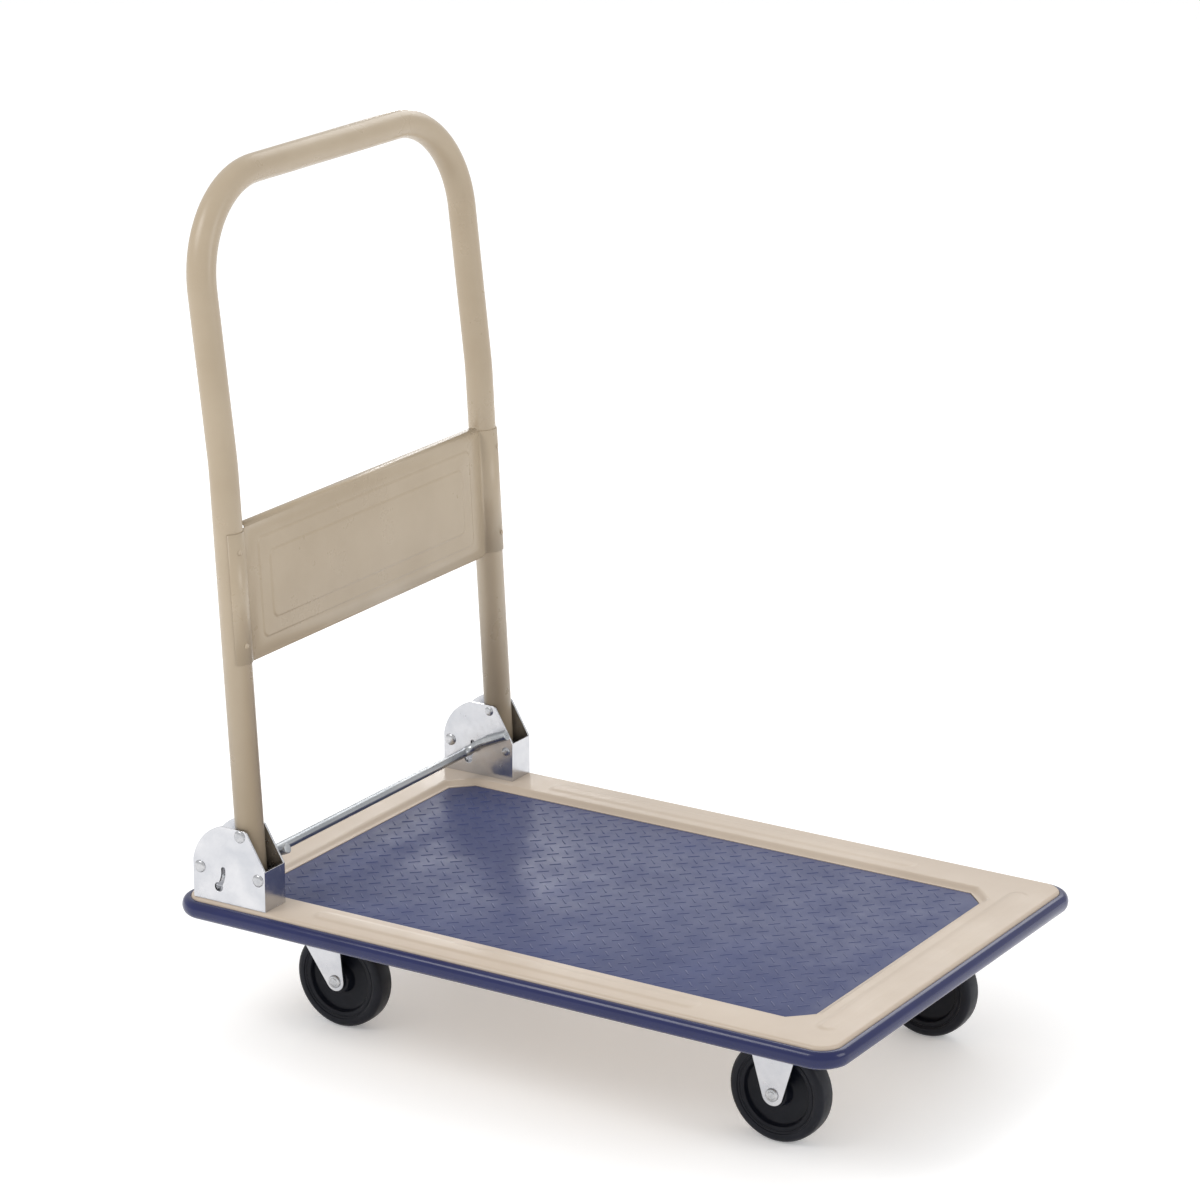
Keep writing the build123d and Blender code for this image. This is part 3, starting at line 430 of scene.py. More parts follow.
def ring_parts(geom):
    verts = [g for g in geom if isinstance(g, bmesh.types.BMVert)]
    kept = set(verts)
    edges = [g for g in geom if isinstance(g, bmesh.types.BMEdge) and kept.issuperset(g.verts)]
    return verts, edges


def skin(bm, shapes, fill_first=True, fill_last=True):
    """Extrude a loop through a list of shapes; each shape is loop_spot's numbers."""
    order = bm.verts.layers.int.get("order") or bm.verts.layers.int.new("order")
    ring = bmesh.ops.create_circle(bm, segments=4 * corner_steps, radius=1.0)["verts"]
    made = list(ring)
    for number, v in enumerate(ring):
        v[order] = number
        v.co = loop_spot(number, **shapes[0])
    first = edges = list({e for v in ring for e in v.link_edges})
    for shape in shapes[1:]:
        new, edges = ring_parts(bmesh.ops.extrude_edge_only(bm, edges=edges)["geom"])
        for v in new:
            v.co = loop_spot(v[order], **shape)
        made += new
    if fill_first:
        bmesh.ops.edgeloop_fill(bm, edges=first)
    if fill_last:
        bmesh.ops.edgeloop_fill(bm, edges=edges)
    return made


# %% [markdown]
# ## The deck
# The deck is one steel sheet, pressed so that its middle drops to hold the mat and its edge turns
# down as a skirt. It could be a box with bevels, but a press leaves slow, soft bends. So the
# section is walked loop by loop: up the skirt, round the bend, across the rim, down a slow
# S-shaped slope and into the pocket. The same walk one sheet deeper gives the underside, and the
# two meet at the skirt's lower edge. Shallow domed beads on the rim stiffen it.

# %% Deck sizes, from the working model
deck_low, deck_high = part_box("deck_plate")
mat_low, mat_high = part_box("deck_mat")
half_deck_x, half_deck_y = deck_high.x, deck_high.y
half_mat_x, half_mat_y = (mat_high.x - mat_low.x) / 2, (mat_high.y - mat_low.y) / 2
mat_x = (mat_high.x + mat_low.x) / 2
sheet = 1.5 * mm
bead_rise = 1.0 * mm
rim_top = deck_high.z - bead_rise
rim_bend = 4.0 * mm
deck_corner = 22.0 * mm
mat_corner = 24.0 * mm
mat_gap = 0.3 * mm
slope_run = 10.5 * mm
print("rim stands", round((rim_top - mat_high.z) / mm, 2), "mm above the mat")


# %% Press the deck
def deck_section(depth):
    """Loops of the deck's top, or of the same face one sheet deeper, from the skirt inwards."""
    def outside(inward, z):
        return dict(half_x=half_deck_x - inward, half_y=half_deck_y - inward,
                    corner=deck_corner - inward, z=z)

    def recess(grow, z):
        return dict(half_x=half_mat_x + mat_gap + grow, half_y=half_mat_y + mat_gap + grow,
                    corner=mat_corner + 0.6 * grow, z=z, cut=0.92, x=mat_x)

    shapes = [outside(depth, deck_low.z)]
    bend_steps, slope_steps = 6, 10
    for step in range(bend_steps + 1):
        angle = pi / 2 * step / bend_steps
        shapes.append(outside(rim_bend - (rim_bend - depth) * cos(angle),
                              rim_top - rim_bend + (rim_bend - depth) * sin(angle)))
    for step in range(slope_steps, -1, -1):
        t = step / slope_steps
        rise = (rim_top - mat_high.z) * (t - sin(2 * pi * t) / (2 * pi))
        shapes.append(recess(slope_run * t + depth, mat_high.z + rise - depth))
    shapes.append(recess(depth, mat_low.z - depth))
    return shapes


def rim_bead(bm, x, y, length, width, turned=False):
    """A long shallow dome with a round end, set into the rim."""
    def dome(inward, z):
        return dict(half_x=length / 2 - inward, half_y=width / 2 - inward,
                    corner=width / 2 - inward, z=z)

    shapes = [dome(0, rim_top - 0.4 * sheet)]
    dome_steps = 6
    for step in range(dome_steps + 1):
        t = step / dome_steps
        shapes.append(dome(0.3 * t * width, rim_top + bead_rise * (1 - cos(pi * t)) / 2))
    place = Matrix.Translation((x, y, 0)) @ Matrix.Rotation(pi / 2 if turned else 0, 4, "Z")
    bmesh.ops.transform(bm, matrix=place, verts=skin(bm, shapes))


bead_width, side_bead, front_bead = 24.0 * mm, 430 * mm, 400 * mm
bead_clear = 14.0 * mm                # from the mat's recess to a bead
bead_inset = mat_gap + bead_clear + bead_width / 2
bm = bmesh.new()
skin(bm, deck_section(0.0)[::-1] + deck_section(sheet))
for side in sides.values():
    rim_bead(bm, mat_x, side * (half_mat_y + bead_inset), side_bead, bead_width)
rim_bead(bm, mat_x + half_mat_x + bead_inset, 0.0, front_bead, bead_width, turned=True)
finish_piece("pressed_deck", bm, "deck_paint", ["deck_plate"])

# %% [markdown]
# ## The tread mat
# The mat is a thin rubber sheet with short ribs that lean one way in one row and the other way in
# the next, like woven cloth, so that a load grips in every direction. A bump pattern would look
# flat at a low angle, so each rib is real: one small bar with a narrower top is copied to its
# place. There are about a thousand, so a rib has only a few faces.

# %% Mat and ribs
rib_length, rib_width, rib_rise = 13.0 * mm, 2.4 * mm, 0.4 * mm
rib_pitch, row_pitch = 17.5 * mm, 11.4 * mm
rib_border = 9.0 * mm
rib_top, rib_bevel = (0.88, 0.5, 1.0), 0.2 * mm


def one_rib(bm):
    """A bar along X with its top edges drawn in."""
    made = bmesh.ops.create_cube(bm, size=1.0)["verts"]
    bmesh.ops.scale(bm, vec=(rib_length, rib_width, 2 * rib_rise), verts=made)
    top = [v for v in made if v.co.z > 0]
    bmesh.ops.scale(bm, vec=rib_top, verts=top)
    bmesh.ops.translate(bm, vec=(0, 0, mat_high.z - rib_rise), verts=made)
    edges = list({e for v in top for e in v.link_edges})
    bmesh.ops.bevel(bm, geom=edges, offset=rib_bevel, offset_type="OFFSET", segments=2,
                    profile=0.5, affect="EDGES", material=-1)


def on_mat(x, y):
    """Whether a rib here stays clear of the mat's edges and cut corners."""
    inside_x, inside_y = half_mat_x - abs(x), half_mat_y - abs(y)
    return min(inside_x, inside_y, (inside_x + inside_y - mat_corner) / sqrt(2)) > rib_border


bm = bmesh.new()
slab_top = mat_high.z - rib_rise
edge_round = 0.5 * mm
skin(bm, [dict(half_x=half_mat_x - inward, half_y=half_mat_y - inward, corner=mat_corner,
               z=z, cut=0.95, x=mat_x)
          for inward, z in ((0, mat_low.z), (0, slab_top - edge_round),
                            (0.3 * edge_round, slab_top - 0.3 * edge_round),
                            (edge_round, slab_top))])
rib_bm = bmesh.new()
one_rib(rib_bm)
rib_mesh = bpy.data.meshes.new("rib")
rib_bm.to_mesh(rib_mesh)
rib_bm.free()
ribs = 0
rows, columns = int(half_mat_y / row_pitch) + 1, int(half_mat_x / rib_pitch) + 1
for row in range(-rows, rows + 1):
    lean = 45 if row % 2 else -45
    for column in range(-columns, columns + 1):
        x, y = (column + 0.5 * (row % 2)) * rib_pitch, row * row_pitch
        if not on_mat(x, y):
            continue
        already = len(bm.verts)
        bm.from_mesh(rib_mesh)
        bm.verts.ensure_lookup_table()
        place = Matrix.Translation((mat_x + x, y, 0)) @ Matrix.Rotation(radians(lean), 4, "Z")
        bmesh.ops.transform(bm, matrix=place, verts=bm.verts[already:])
        ribs += 1
bpy.data.meshes.remove(rib_mesh)
finish_piece("tread_mat", bm, "blue_mat", ["deck_mat"], sharp_above=50)
print("ribs on the mat:", ribs)

# %% [markdown]
# ## The bumper
# A strip of glossy plastic is clipped round the deck's skirt, so that the cart doesn't mark walls.
# Its section is a D outside, and inside it a hook that grips behind the skirt. The section's
# points are offsets from the deck's edge and heights; each gives one loop, and the last loop
# falls on the first, so the strip is closed once its doubles are merged.

# %% Bumper strip
bumper_low, bumper_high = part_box("edge_bumper")
proud = bumper_high.x - half_deck_x
bumper_middle = (bumper_low.z + bumper_high.z) / 2
bumper_half = (bumper_high.z - bumper_low.z) / 2
section = [(0.1 * mm, bumper_high.z - 0.7 * mm), (0.6 * mm, bumper_high.z - 0.1 * mm)]
flat, bulge_steps = 2.0 * mm, 12
for step in range(bulge_steps + 1):
    angle = radians(90 - 180 * step / bulge_steps)
    bulge = flat + (proud - flat) * cos(angle) ** 0.85
    section.append((bulge, bumper_middle + bumper_half * sin(angle)))
hook_top = deck_low.z + 8 * mm
section += [(-6.0 * mm, bumper_low.z), (-6.5 * mm, bumper_low.z + 0.5 * mm),
            (-6.5 * mm, deck_low.z - 0.6 * mm), (-6.1 * mm, deck_low.z - 0.1 * mm),
            (-3.8 * mm, deck_low.z - 0.1 * mm), (-3.8 * mm, hook_top - 0.5 * mm),
            (-3.3 * mm, hook_top), (-2.3 * mm, hook_top), (-1.8 * mm, hook_top - 0.5 * mm),
            (-1.8 * mm, deck_low.z - 0.1 * mm), (0.1 * mm, deck_low.z - 0.1 * mm)]
bm = bmesh.new()
skin(bm, [dict(half_x=half_deck_x + out, half_y=half_deck_y + out, corner=deck_corner + out, z=z)
          for out, z in section + section[:1]], fill_first=False, fill_last=False)
finish_piece("bumper_strip", bm, "blue_bumper", ["edge_bumper"])

# %% [markdown]
# ## Tubes and rods
# The handle is one long tube bent four times, and the foot bar is a rod bent four times. A curve
# with a round bevel would do, but here a ring of edges is pushed along each straight run and spun
# round each bend, just as a bending machine does it. Every bend then has its true radius and even
# faces.

# %% Sweep a ring along a bent path
def facing(spot, way):
    """The matrix that takes +Z to a way and the origin to a spot."""
    return Matrix.Translation(spot) @ way.to_track_quat("Z", "Y").to_matrix().to_4x4()


def ends_of(edges):
    return list({v for e in edges for v in e.verts})


def push_ring(bm, edges, way):
    """Extrude a ring by a vector and return the new ring's edges."""
    verts, new_edges = ring_parts(bmesh.ops.extrude_edge_only(bm, edges=edges)["geom"])
    bmesh.ops.translate(bm, vec=way, verts=verts)
    return new_edges


def sweep_ring(bm, route, bends, radius, around=32):
    """A tube along straight runs and round bends. Returns its first and last rings."""
    heading = (route[1] - route[0]).normalized()
    ring = bmesh.ops.create_circle(bm, segments=around, radius=radius)["verts"]
    bmesh.ops.transform(bm, matrix=facing(route[0], heading), verts=ring)
    first = edges = list({e for v in ring for e in v.link_edges})
    here = route[0]
    for corner, bend, after in zip(route[1:], bends, route[2:]):
        leaving = (after - corner).normalized()
        turn = heading.angle(leaving)
        setback = bend * tan(turn / 2)
        start = corner - heading * setback
        edges = push_ring(bm, edges, start - here)
        axis = heading.cross(leaving).normalized()
        steps = max(6, round(turn / radians(4)))
        spun = bmesh.ops.spin(bm, geom=ends_of(edges) + edges, axis=axis, angle=turn, steps=steps,
                              cent=start + axis.cross(heading) * bend)
        edges = ring_parts(spun["geom_last"])[1]
        heading, here = leaving, corner + leaving * setback
    last = push_ring(bm, edges, route[-1] - here)
    return first, last


def ring_middle(edges):
    points = ends_of(edges)
    return sum((v.co for v in points), Vector()) / len(points)


def add_wall(made, thickness):
    """Give an open sheet its thickness, behind its outer face."""
    wall = made.modifiers.new("wall", "SOLIDIFY")
    wall.thickness = thickness
    wall.offset = -1.0
    wall.use_even_offset = True


# %% Handle tube
pivot = Vector(joints["handle_fold"]["pos_m"])
leg_y = middle_of("left_hinge_bracket").y
tube_radius, tube_wall = 14.0 * mm, 1.5 * mm
lower_lean, upper_lean = radians(3.2), radians(6.5)
below_pivot, above_pivot = 42 * mm, 363 * mm       # along the leg, to its end and to its knee
knee_bend, crown_bend = 400 * mm, 100 * mm
leg_up = Vector((-sin(lower_lean), 0, cos(lower_lean)))
leg_front = Vector((cos(lower_lean), 0, sin(lower_lean)))
neck_up = Vector((-sin(upper_lean), 0, cos(upper_lean)))
foot = pivot - leg_up * below_pivot
knee = pivot + leg_up * above_pivot
crown = knee + neck_up * ((model_box[1].z - tube_radius - knee.z) / neck_up.z)


def on_side(point, side):
    return Vector((point.x, side * leg_y, point.z))


bm = bmesh.new()
tube_route = [on_side(foot, -1), on_side(knee, -1), on_side(crown, -1),
              on_side(crown, 1), on_side(knee, 1), on_side(foot, 1)]
tube_end = sweep_ring(bm, tube_route, [knee_bend, crown_bend, crown_bend, knee_bend],
                      tube_radius, around=40)[1]
print("tube ends", round((ring_middle(tube_end) - tube_route[-1]).length / mm, 3),
      "mm from its foot")
handle_loop = finish_piece("handle_loop", bm, "handle_paint", ["handle_tube"])
add_wall(handle_loop, tube_wall)

# %% [markdown]
# ## The handle's panel
# The panel is one thin sheet: two nested fields are pressed forwards, its long edges are turned
# back as lips, and its sides wrap round the tubes. Only its front skin is shaped here, in its own
# frame (across the cart, up the leg, forwards), and a Solidify modifier gives it its sheet. The
# fields are loops again; the lips and the wraps are edges pushed out and spun, as a folding
# machine does it. The crease between the web and each wrap is eased with a bevel.

# %% Panel skin
panel_low, panel_high = 166.5 * mm, 302.5 * mm      # up the leg, from the pivot
panel_sheet = 1.2 * mm
panel_front = 6.2 * mm                              # web's face in front of the legs' axes
wrap_radius = tube_radius + 0.05 * mm + panel_sheet
wrap_start = asin(panel_front / wrap_radius)
half_web = leg_y - wrap_radius * cos(wrap_start)
relief, lip, fold = 4.0 * mm, 9.0 * mm, 3.0 * mm
half_lip = half_web - relief
half_panel = (panel_high - panel_low) / 2
panel_middle = pivot + leg_up * (panel_low + half_panel)
press_depth, press_run = 1.1 * mm, 3.2 * mm
inner_margin, outer_margin = 33 * mm, 17 * mm
field_corner, corner_loss = 9.0 * mm, 3.0 * mm
crease_round, wrap_past = 1.6 * mm, radians(58)     # a wrap goes on past the tube's side
near = 0.01 * mm


def pressed_field(margin, base):
    """Loops of one raised field, from its flat top out to its foot."""
    steps = 6
    return [dict(half_x=half_lip - margin - press_run * (1 - t),
                 half_y=half_panel - margin - press_run * (1 - t),
                 corner=field_corner - corner_loss * (1 - t),
                 z=base + press_depth * (1 + cos(pi * t)) / 2)
            for t in (step / steps for step in range(steps + 1))]


def edges_where(bm, test):
    """Open edges whose two ends pass a test."""
    return [e for e in bm.edges if e.is_boundary and all(test(v.co) for v in e.verts)]


bm = bmesh.new()
skin(bm, pressed_field(inner_margin, panel_front + press_depth)
     + pressed_field(outer_margin, panel_front)
     + [dict(half_x=half_lip, half_y=half_panel - relief, corner=0.0, z=panel_front)],
     fill_last=False)
bmesh.ops.remove_doubles(bm, verts=bm.verts, dist=0.001 * mm)
for end in (1, -1):
    edges = edges_where(bm, lambda co: end * co.y > half_panel - relief - near)
    edges = push_ring(bm, edges, (0, end * (relief - fold), 0))
    spun = bmesh.ops.spin(bm, geom=ends_of(edges) + edges, steps=6, angle=pi / 2,
                          cent=(0, end * (half_panel - fold), panel_front - fold), axis=(-end, 0, 0))
    push_ring(bm, ring_parts(spun["geom_last"])[1], (0, 0, fold - lip))
creases = []
for side in sides.values():
    edges = edges_where(bm, lambda co: side * co.x > half_lip - near
                        and abs(co.y) < half_panel - relief + near and co.z > panel_front - near)
    edges = push_ring(bm, edges, (side * relief, 0, 0))
    creases += edges
    bmesh.ops.spin(bm, geom=ends_of(edges) + edges, steps=22, angle=pi / 2 - wrap_start + wrap_past,
                   cent=(side * leg_y, 0, 0), axis=(0, side, 0))
bmesh.ops.bevel(bm, geom=creases, offset=crease_round, offset_type="OFFSET", segments=4,
                profile=0.5, affect="EDGES", material=-1)
place = Matrix((Vector((0, 1, 0)), leg_up, leg_front)).transposed().to_4x4()
bmesh.ops.transform(bm, matrix=Matrix.Translation(panel_middle) @ place, verts=bm.verts)
wrapped_panel = finish_piece("wrapped_panel", bm, "handle_paint", ["handle_panel"], faces=leg_front)
add_wall(wrapped_panel, panel_sheet)

# %% [markdown]
# ## Turned parts
# Rivets, axles, kingpins and wheels are all turned round an axis. Each is drawn as half a
# section, a short list of distances from the axis and along it, and spun once round. A full spin
# closes on itself, and the points on the axis merge into one.

# %% Turn a section, and a domed head
def turned(bm, section, spot, way, around=32):
    """Spin (distance from the axis, distance along it) round an axis through a spot."""
    already = set(bm.verts)
    points = [bm.verts.new((radius, 0, along)) for radius, along in section]
    edges = [bm.edges.new(pair) for pair in zip(points, points[1:])]
    bmesh.ops.spin(bm, geom=points + edges, cent=(0, 0, 0), axis=(0, 0, 1), angle=2 * pi,
                   steps=around, use_merge=True)
    bmesh.ops.transform(bm, matrix=facing(spot, Vector(way)),
                        verts=[v for v in bm.verts if v not in already])


def head(radius, height, base, facing=1, steps=6):
    """Section of a domed head, from its rim at base to its middle."""
    rim = 0.3 * height
    rise = [(radius, base), (radius, base + facing * 0.7 * rim)]
    for step in range(steps + 1):
        angle = pi / 2 * step / steps
        rise.append((radius * (0.94 * cos(angle)), base + facing * (rim + (height - rim) * sin(angle))))
    return rise


def rivet(bm, spot, way, shank, length, outer, inner):
    """A rivet from its inner head at the spot to its outer head, along a way."""
    section = head(*inner, 0.0, facing=-1)[::-1] + [(shank, 0.0), (shank, length)]
    turned(bm, section + head(*outer, length), spot, way)


# %% [markdown]
# ## Rivets of the hinge brackets and the panel
# Three rivets cross each bracket: the lock's pivot at the rear, the stop for the handle's foot,
# and the handle's pivot. Their outer heads are large and domed, as a riveting press leaves them.
# Four small rivets hold the panel's wraps to the tubes.

# %% Bracket rivets
bracket_low, bracket_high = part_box("left_hinge_bracket")
rivet_shank = 4.0 * mm
large_head, small_head = (6.3 * mm, 2.4 * mm), (4.9 * mm, 1.6 * mm)
for name, new_name in (("rear_rivets", "domed_lock_rivets"), ("stop_rivets", "domed_stop_rivets"),
                       ("handle_pivot_rivets", "domed_pivot_rivets")):
    low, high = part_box(name)
    spot = (low + high) / 2
    tail = large_head if name == "rear_rivets" else small_head
    bm = bmesh.new()
    for side in sides.values():
        rivet(bm, Vector((spot.x, side * bracket_low.y, spot.z)), (0, side, 0), rivet_shank,
              bracket_high.y - bracket_low.y, large_head, tail)
    finish_piece(new_name, bm, "zinc_fastener", [name])

# %% Panel rivets
rivet_turn, rivet_inset = radians(12), 22 * mm
rivet_root = 1.2 * mm                 # how far a rivet stands inside the tube's wall
bm = bmesh.new()
for side in sides.values():
    out = leg_front * cos(rivet_turn) + Vector((0, side * sin(rivet_turn), 0))
    for height in (panel_low + rivet_inset, panel_high - rivet_inset):
        spot = on_side(pivot + leg_up * height, side) + out * (tube_radius - tube_wall - rivet_root)
        rivet(bm, spot, out, 1.6 * mm, wrap_radius - tube_radius + tube_wall + rivet_root,
              (2.8 * mm, 1.0 * mm), (2.2 * mm, 0.6 * mm))
finish_piece("small_panel_rivets", bm, "handle_paint", ["panel_rivets"])

# %% [markdown]
# ## Folded steel with eased edges
# The brackets, the casters' forks and plates, and the channels under the deck are cut and folded
# from plate, and the working model already has their true shapes. What it lacks is the small
# round on every cut edge, which catches a thin line of light. So each one is copied, its flat
# faces are joined into single faces, and its sharp edges are bevelled. A Weighted Normal modifier
# keeps the large faces flat to the eye.

# %% Ease the edges of a copy
def eased_copy(name, node, slot, width, above=30.0):
    """A copy of a model piece with its sharp edges rounded."""
    bm = bmesh.new()
    bm.from_mesh(nodes[node].data)
    bmesh.ops.remove_doubles(bm, verts=bm.verts, dist=0.001 * mm)
    bmesh.ops.dissolve_limit(bm, angle_limit=radians(1), verts=bm.verts, edges=bm.edges)
    sharp = [e for e in bm.edges if e.is_manifold and e.calc_face_angle() > radians(above)]
    bmesh.ops.bevel(bm, geom=sharp, offset=width, offset_type="OFFSET", segments=2, profile=0.5,
                    affect="EDGES", clamp_overlap=False, material=-1)
    made = finish_piece(name, bm, slot, [node], sharp_above=60)
    made.modifiers.new("flat_faces", "WEIGHTED_NORMAL").keep_sharp = True
    return made


for side in sides:
    eased_copy(f"{side}_eased_bracket", f"{side}_hinge_bracket", "zinc_sheet", 0.3 * mm)
    eased_copy(f"{side}_eased_pawl", f"{side}_lock_pawl", "zinc_fastener", 0.4 * mm)
    eased_copy(f"{side}_eased_fixed_fork", f"{side}_fixed_fork", "zinc_sheet", 0.4 * mm)
    eased_copy(f"{side}_eased_swivel_fork", f"{side}_swivel_fork", "zinc_sheet", 0.4 * mm)
    eased_copy(f"{side}_eased_swivel_plate", f"{side}_swivel_plate", "zinc_sheet", 0.4 * mm)
    eased_copy(f"{side}_eased_rail", f"{side}_deck_rail", "deck_paint", 0.5 * mm)
for end in ("front", "rear"):
    eased_copy(f"{end}_eased_channel", f"{end}_caster_channel", "deck_paint", 0.5 * mm)

# %% [markdown]
# ## Bolts and nuts
# Hexagon bolts hold the brackets and the casters, with nuts under the deck. They are copies with
# eased edges too, since a bolt's head is just a hexagonal prism with its corners knocked off.

# %% Bolts, nuts and spacers
for name in ("bracket_bolts", "bracket_nuts", "caster_bolts", "caster_nuts", "pawl_spacers"):
    eased_copy(f"eased_{name}", name, "zinc_fastener", 0.4 * mm)

# %% [markdown]
# ## The foot bar
# The bar that frees the handle is one rod, swept like the tube: from each side it runs back to a
# pin that slides in the bracket's slot. The pins are welded on, so each joint gets a bead of weld
# that is a little lumpy.

# %% Foot bar
lock_axis = middle_of("rear_rivets")
lock_arm, lock_angle = 27.6 * mm, radians(-11)
pin = lock_axis + lock_arm * Vector((cos(lock_angle), 0, sin(lock_angle)))
bar_radius, bar_gap = 4.9 * mm, 2.9 * mm
bar_y = bracket_low.y - bar_gap - bar_radius
bar_tread, bar_elbow = Vector((48.0, 0, 25.5)) * mm, Vector((15.5, 0, 11.0)) * mm
arm = [pin + bar_tread, pin + bar_elbow, pin]
pin_radius, pin_root, pin_end = 2 * mm, 12 * mm, 233.25 * mm
weld = [(0, 0), (2.4, 0), (3.9, 0.8), (4.8, 2.2), (5.1, 3.8), (5.5, 5.5), (4.9, 7.5), (4.2, 9.5),
        (3.0, 11.6), (2.2, 12.05), (0, 12.05)]
bm = bmesh.new()
bar_route = ([Vector((p.x, -bar_y, p.z)) for p in arm]
             + [Vector((p.x, bar_y, p.z)) for p in arm[::-1]])
for edges in sweep_ring(bm, bar_route, [20 * mm, 12 * mm, 12 * mm, 20 * mm], bar_radius, around=28):
    cap = bmesh.ops.edgeloop_fill(bm, edges=edges)["faces"]
    bmesh.ops.bevel(bm, geom=list(cap[0].edges), offset=0.8 * mm, offset_type="OFFSET", segments=3,
                    profile=0.5, affect="EDGES", material=-1)
for side in sides.values():
    start = Vector((pin.x, side * (bar_y - pin_root), pin.z))
    length = pin_end - bar_y + pin_root
    turned(bm, [(0, 0), (pin_radius, 0), (pin_radius, length - 0.3 * mm),
                (pin_radius - 0.3 * mm, length), (0, length)], start, (0, side, 0), around=20)
    turned(bm, [(r * mm, along * mm) for r, along in weld],
           Vector((pin.x, side * (bar_y - bar_radius), pin.z)), (0, side, 0), around=24)
finish_piece("bent_foot_bar", bm, "zinc_rod", ["lock_bar"], sharp_above=50)

# %% [markdown]
# ## The lock springs
# A torsion spring on each rear rivet pushes the bar up. It is one wire: along a leg to the coil,
# some three and a half turns round, and out along the other leg. Spin makes the coil when it is
# also given a step along its axis.

# %% Lock springs
wire, coil_radius, spring_legs = 0.7 * mm, 5.1 * mm, 17 * mm
spring_y, spring_pitch = 223.1 * mm, 1.45 * mm
first_slope, last_slope = radians(-49), radians(-68)


def on_coil(angle, y):
    return Vector((lock_axis.x + coil_radius * cos(angle), y, lock_axis.z + coil_radius * sin(angle)))


bm = bmesh.new()
coil_turn = radians(3 * 360) + pi + last_slope - first_slope
coil_steps = 96
for side in sides.values():
    start = on_coil(first_slope + pi / 2, side * spring_y)
    along = Vector((cos(first_slope), 0, sin(first_slope)))
    ring = bmesh.ops.create_circle(bm, segments=10, radius=wire)["verts"]
    bmesh.ops.transform(bm, matrix=facing(start + along * spring_legs, along), verts=ring)
    edges = list({e for v in ring for e in v.link_edges})
    bmesh.ops.edgeloop_fill(bm, edges=edges)
    edges = push_ring(bm, edges, -along * spring_legs)
    step_along = side * spring_pitch * coil_turn / (2 * pi) / coil_steps
    spun = bmesh.ops.spin(bm, geom=ends_of(edges) + edges, cent=(lock_axis.x, 0, lock_axis.z),
                          axis=(0, -1, 0), dvec=(0, step_along, 0), angle=coil_turn,
                          steps=coil_steps)
    edges = ring_parts(spun["geom_last"])[1]
    edges = push_ring(bm, edges, Vector((cos(last_slope), 0, sin(last_slope))) * spring_legs)
    bmesh.ops.edgeloop_fill(bm, edges=edges)
finish_piece("coiled_lock_springs", bm, "spring_steel", ["lock_springs"], sharp_above=60)

# %% [markdown]
# ## Wheels and axles
# Each wheel is a rubber tyre on a moulded core, turned on a steel bush. The tyre has a slightly
# domed tread and soft shoulders; the core has a thick rim, a thin web and a hub, joined by fillets.
# The axle is a rivet whose heads are pressed with a ring. The plain sections are mirrored halves,
# so a wheel looks the same from both sides.

# %% Wheel sections, in millimetres
def both_halves(half):
    """A closed section from its half: (distance from the axis, distance from the middle)."""
    full = [(r * mm, along * mm) for r, along in half]
    return full + [(r, -along) for r, along in full[::-1]] + full[:1]


wheel_radius, tread_half, tread_crown = 50, 6.5, 0.35
shoulder_from = 44
shoulder_out = wheel_radius - tread_crown - shoulder_from
tread = [(wheel_radius - tread_crown * (step / 5) ** 2, tread_half * step / 5)
         for step in range(6)]
shoulder = [(shoulder_from + shoulder_out * cos(radians(a)), tread_half + 5.5 * sin(radians(a)))
            for a in range(15, 91, 15)]
tyre_half = tread + shoulder + [(41.6, 12.0), (41.0, 11.7), (40.6, 10.8), (39.4, 10.4), (39.0, 10.0)]
core_half = [(38.95, 0), (38.95, 9.6), (38.6, 10.0), (35.2, 10.0), (34.6, 9.7), (34.2, 9.0), (33.4, 5.2),
             (32.4, 4.0), (30.8, 3.5), (17.0, 3.5), (15.2, 4.1), (14.2, 5.6), (13.2, 12.6), (12.7, 13.3),
             (12.0, 13.5), (6.6, 13.5), (6.05, 13.0), (6.05, 0)]
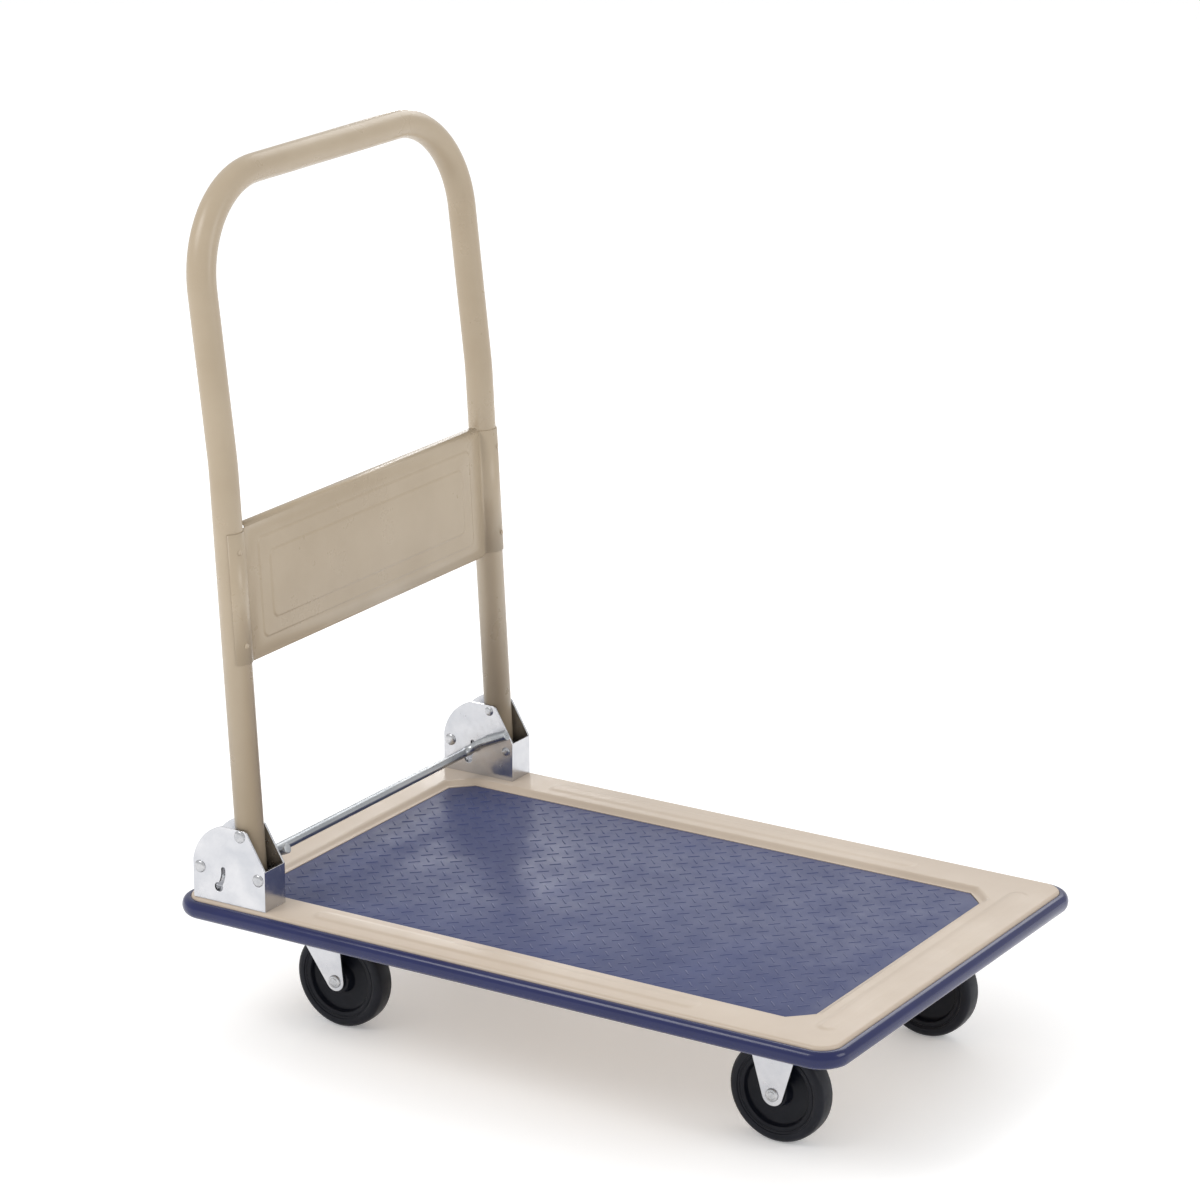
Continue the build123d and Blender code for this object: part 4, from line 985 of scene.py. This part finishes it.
bush_half = [(6.0, 0), (6.0, 14.2), (5.7, 14.5), (4.4, 14.5), (4.08, 14.2), (4.08, 0)]

# %% Make the wheels and their axles
axle_reach, axle_radius = 17.5 * mm, 4 * mm
marked_head = [(6.6, 0), (6.6, 0.9), (6.2, 1.5), (5.2, 1.9), (4.4, 2.0), (4.1, 1.7), (3.7, 1.7),
               (3.4, 2.05), (2.0, 2.2), (0, 2.2)]
far_head = [(r * mm, axle_reach + along * mm) for r, along in marked_head]
near_head = [(r, -along) for r, along in far_head[::-1]]
axle_section = near_head + [(axle_radius, -axle_reach), (axle_radius, axle_reach)] + far_head
for corner in ("front_left", "front_right", "rear_left", "rear_right"):
    hub = Vector(joints[f"{corner}_wheel_spin"]["pos_m"])
    hub.y = middle_of(f"{corner}_tyre").y
    for part, half, slot, around in (("tyre", tyre_half, "black_tyre", 72),
                                     ("wheel_core", core_half, "black_core", 56),
                                     ("wheel_bush", bush_half, "zinc_fastener", 32)):
        bm = bmesh.new()
        turned(bm, both_halves(half), hub, (0, 1, 0), around)
        finish_piece(f"{corner}_turned_{part}", bm, slot, [f"{corner}_{part}"])
    bm = bmesh.new()
    turned(bm, axle_section, hub, (0, 1, 0))
    finish_piece(f"{corner}_riveted_axle", bm, "zinc_fastener", [f"{corner}_axle"])

# %% [markdown]
# ## Kingpins
# A kingpin holds each swivel fork to its plate, with a domed head above and below. The balls
# between them are hardly seen, so they stay as the working model has them and only take a finish.

# %% Kingpins and balls
kingpin_radius, kingpin_head = 5 * mm, (9 * mm, 2.6 * mm)
for side in sides:
    low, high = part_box(f"{side}_kingpin")
    spot = middle_of(f"{side}_kingpin")
    spot.z = low.z + kingpin_head[1]
    bm = bmesh.new()
    rivet(bm, spot, (0, 0, 1), kingpin_radius, high.z - low.z - 2 * kingpin_head[1], kingpin_head,
          kingpin_head)
    finish_piece(f"{side}_domed_kingpin", bm, "zinc_fastener", [f"{side}_kingpin"])
balls = nodes["swivel_balls"]
balls.data.materials.clear()
balls.data.materials.append(materials["zinc_fastener"])
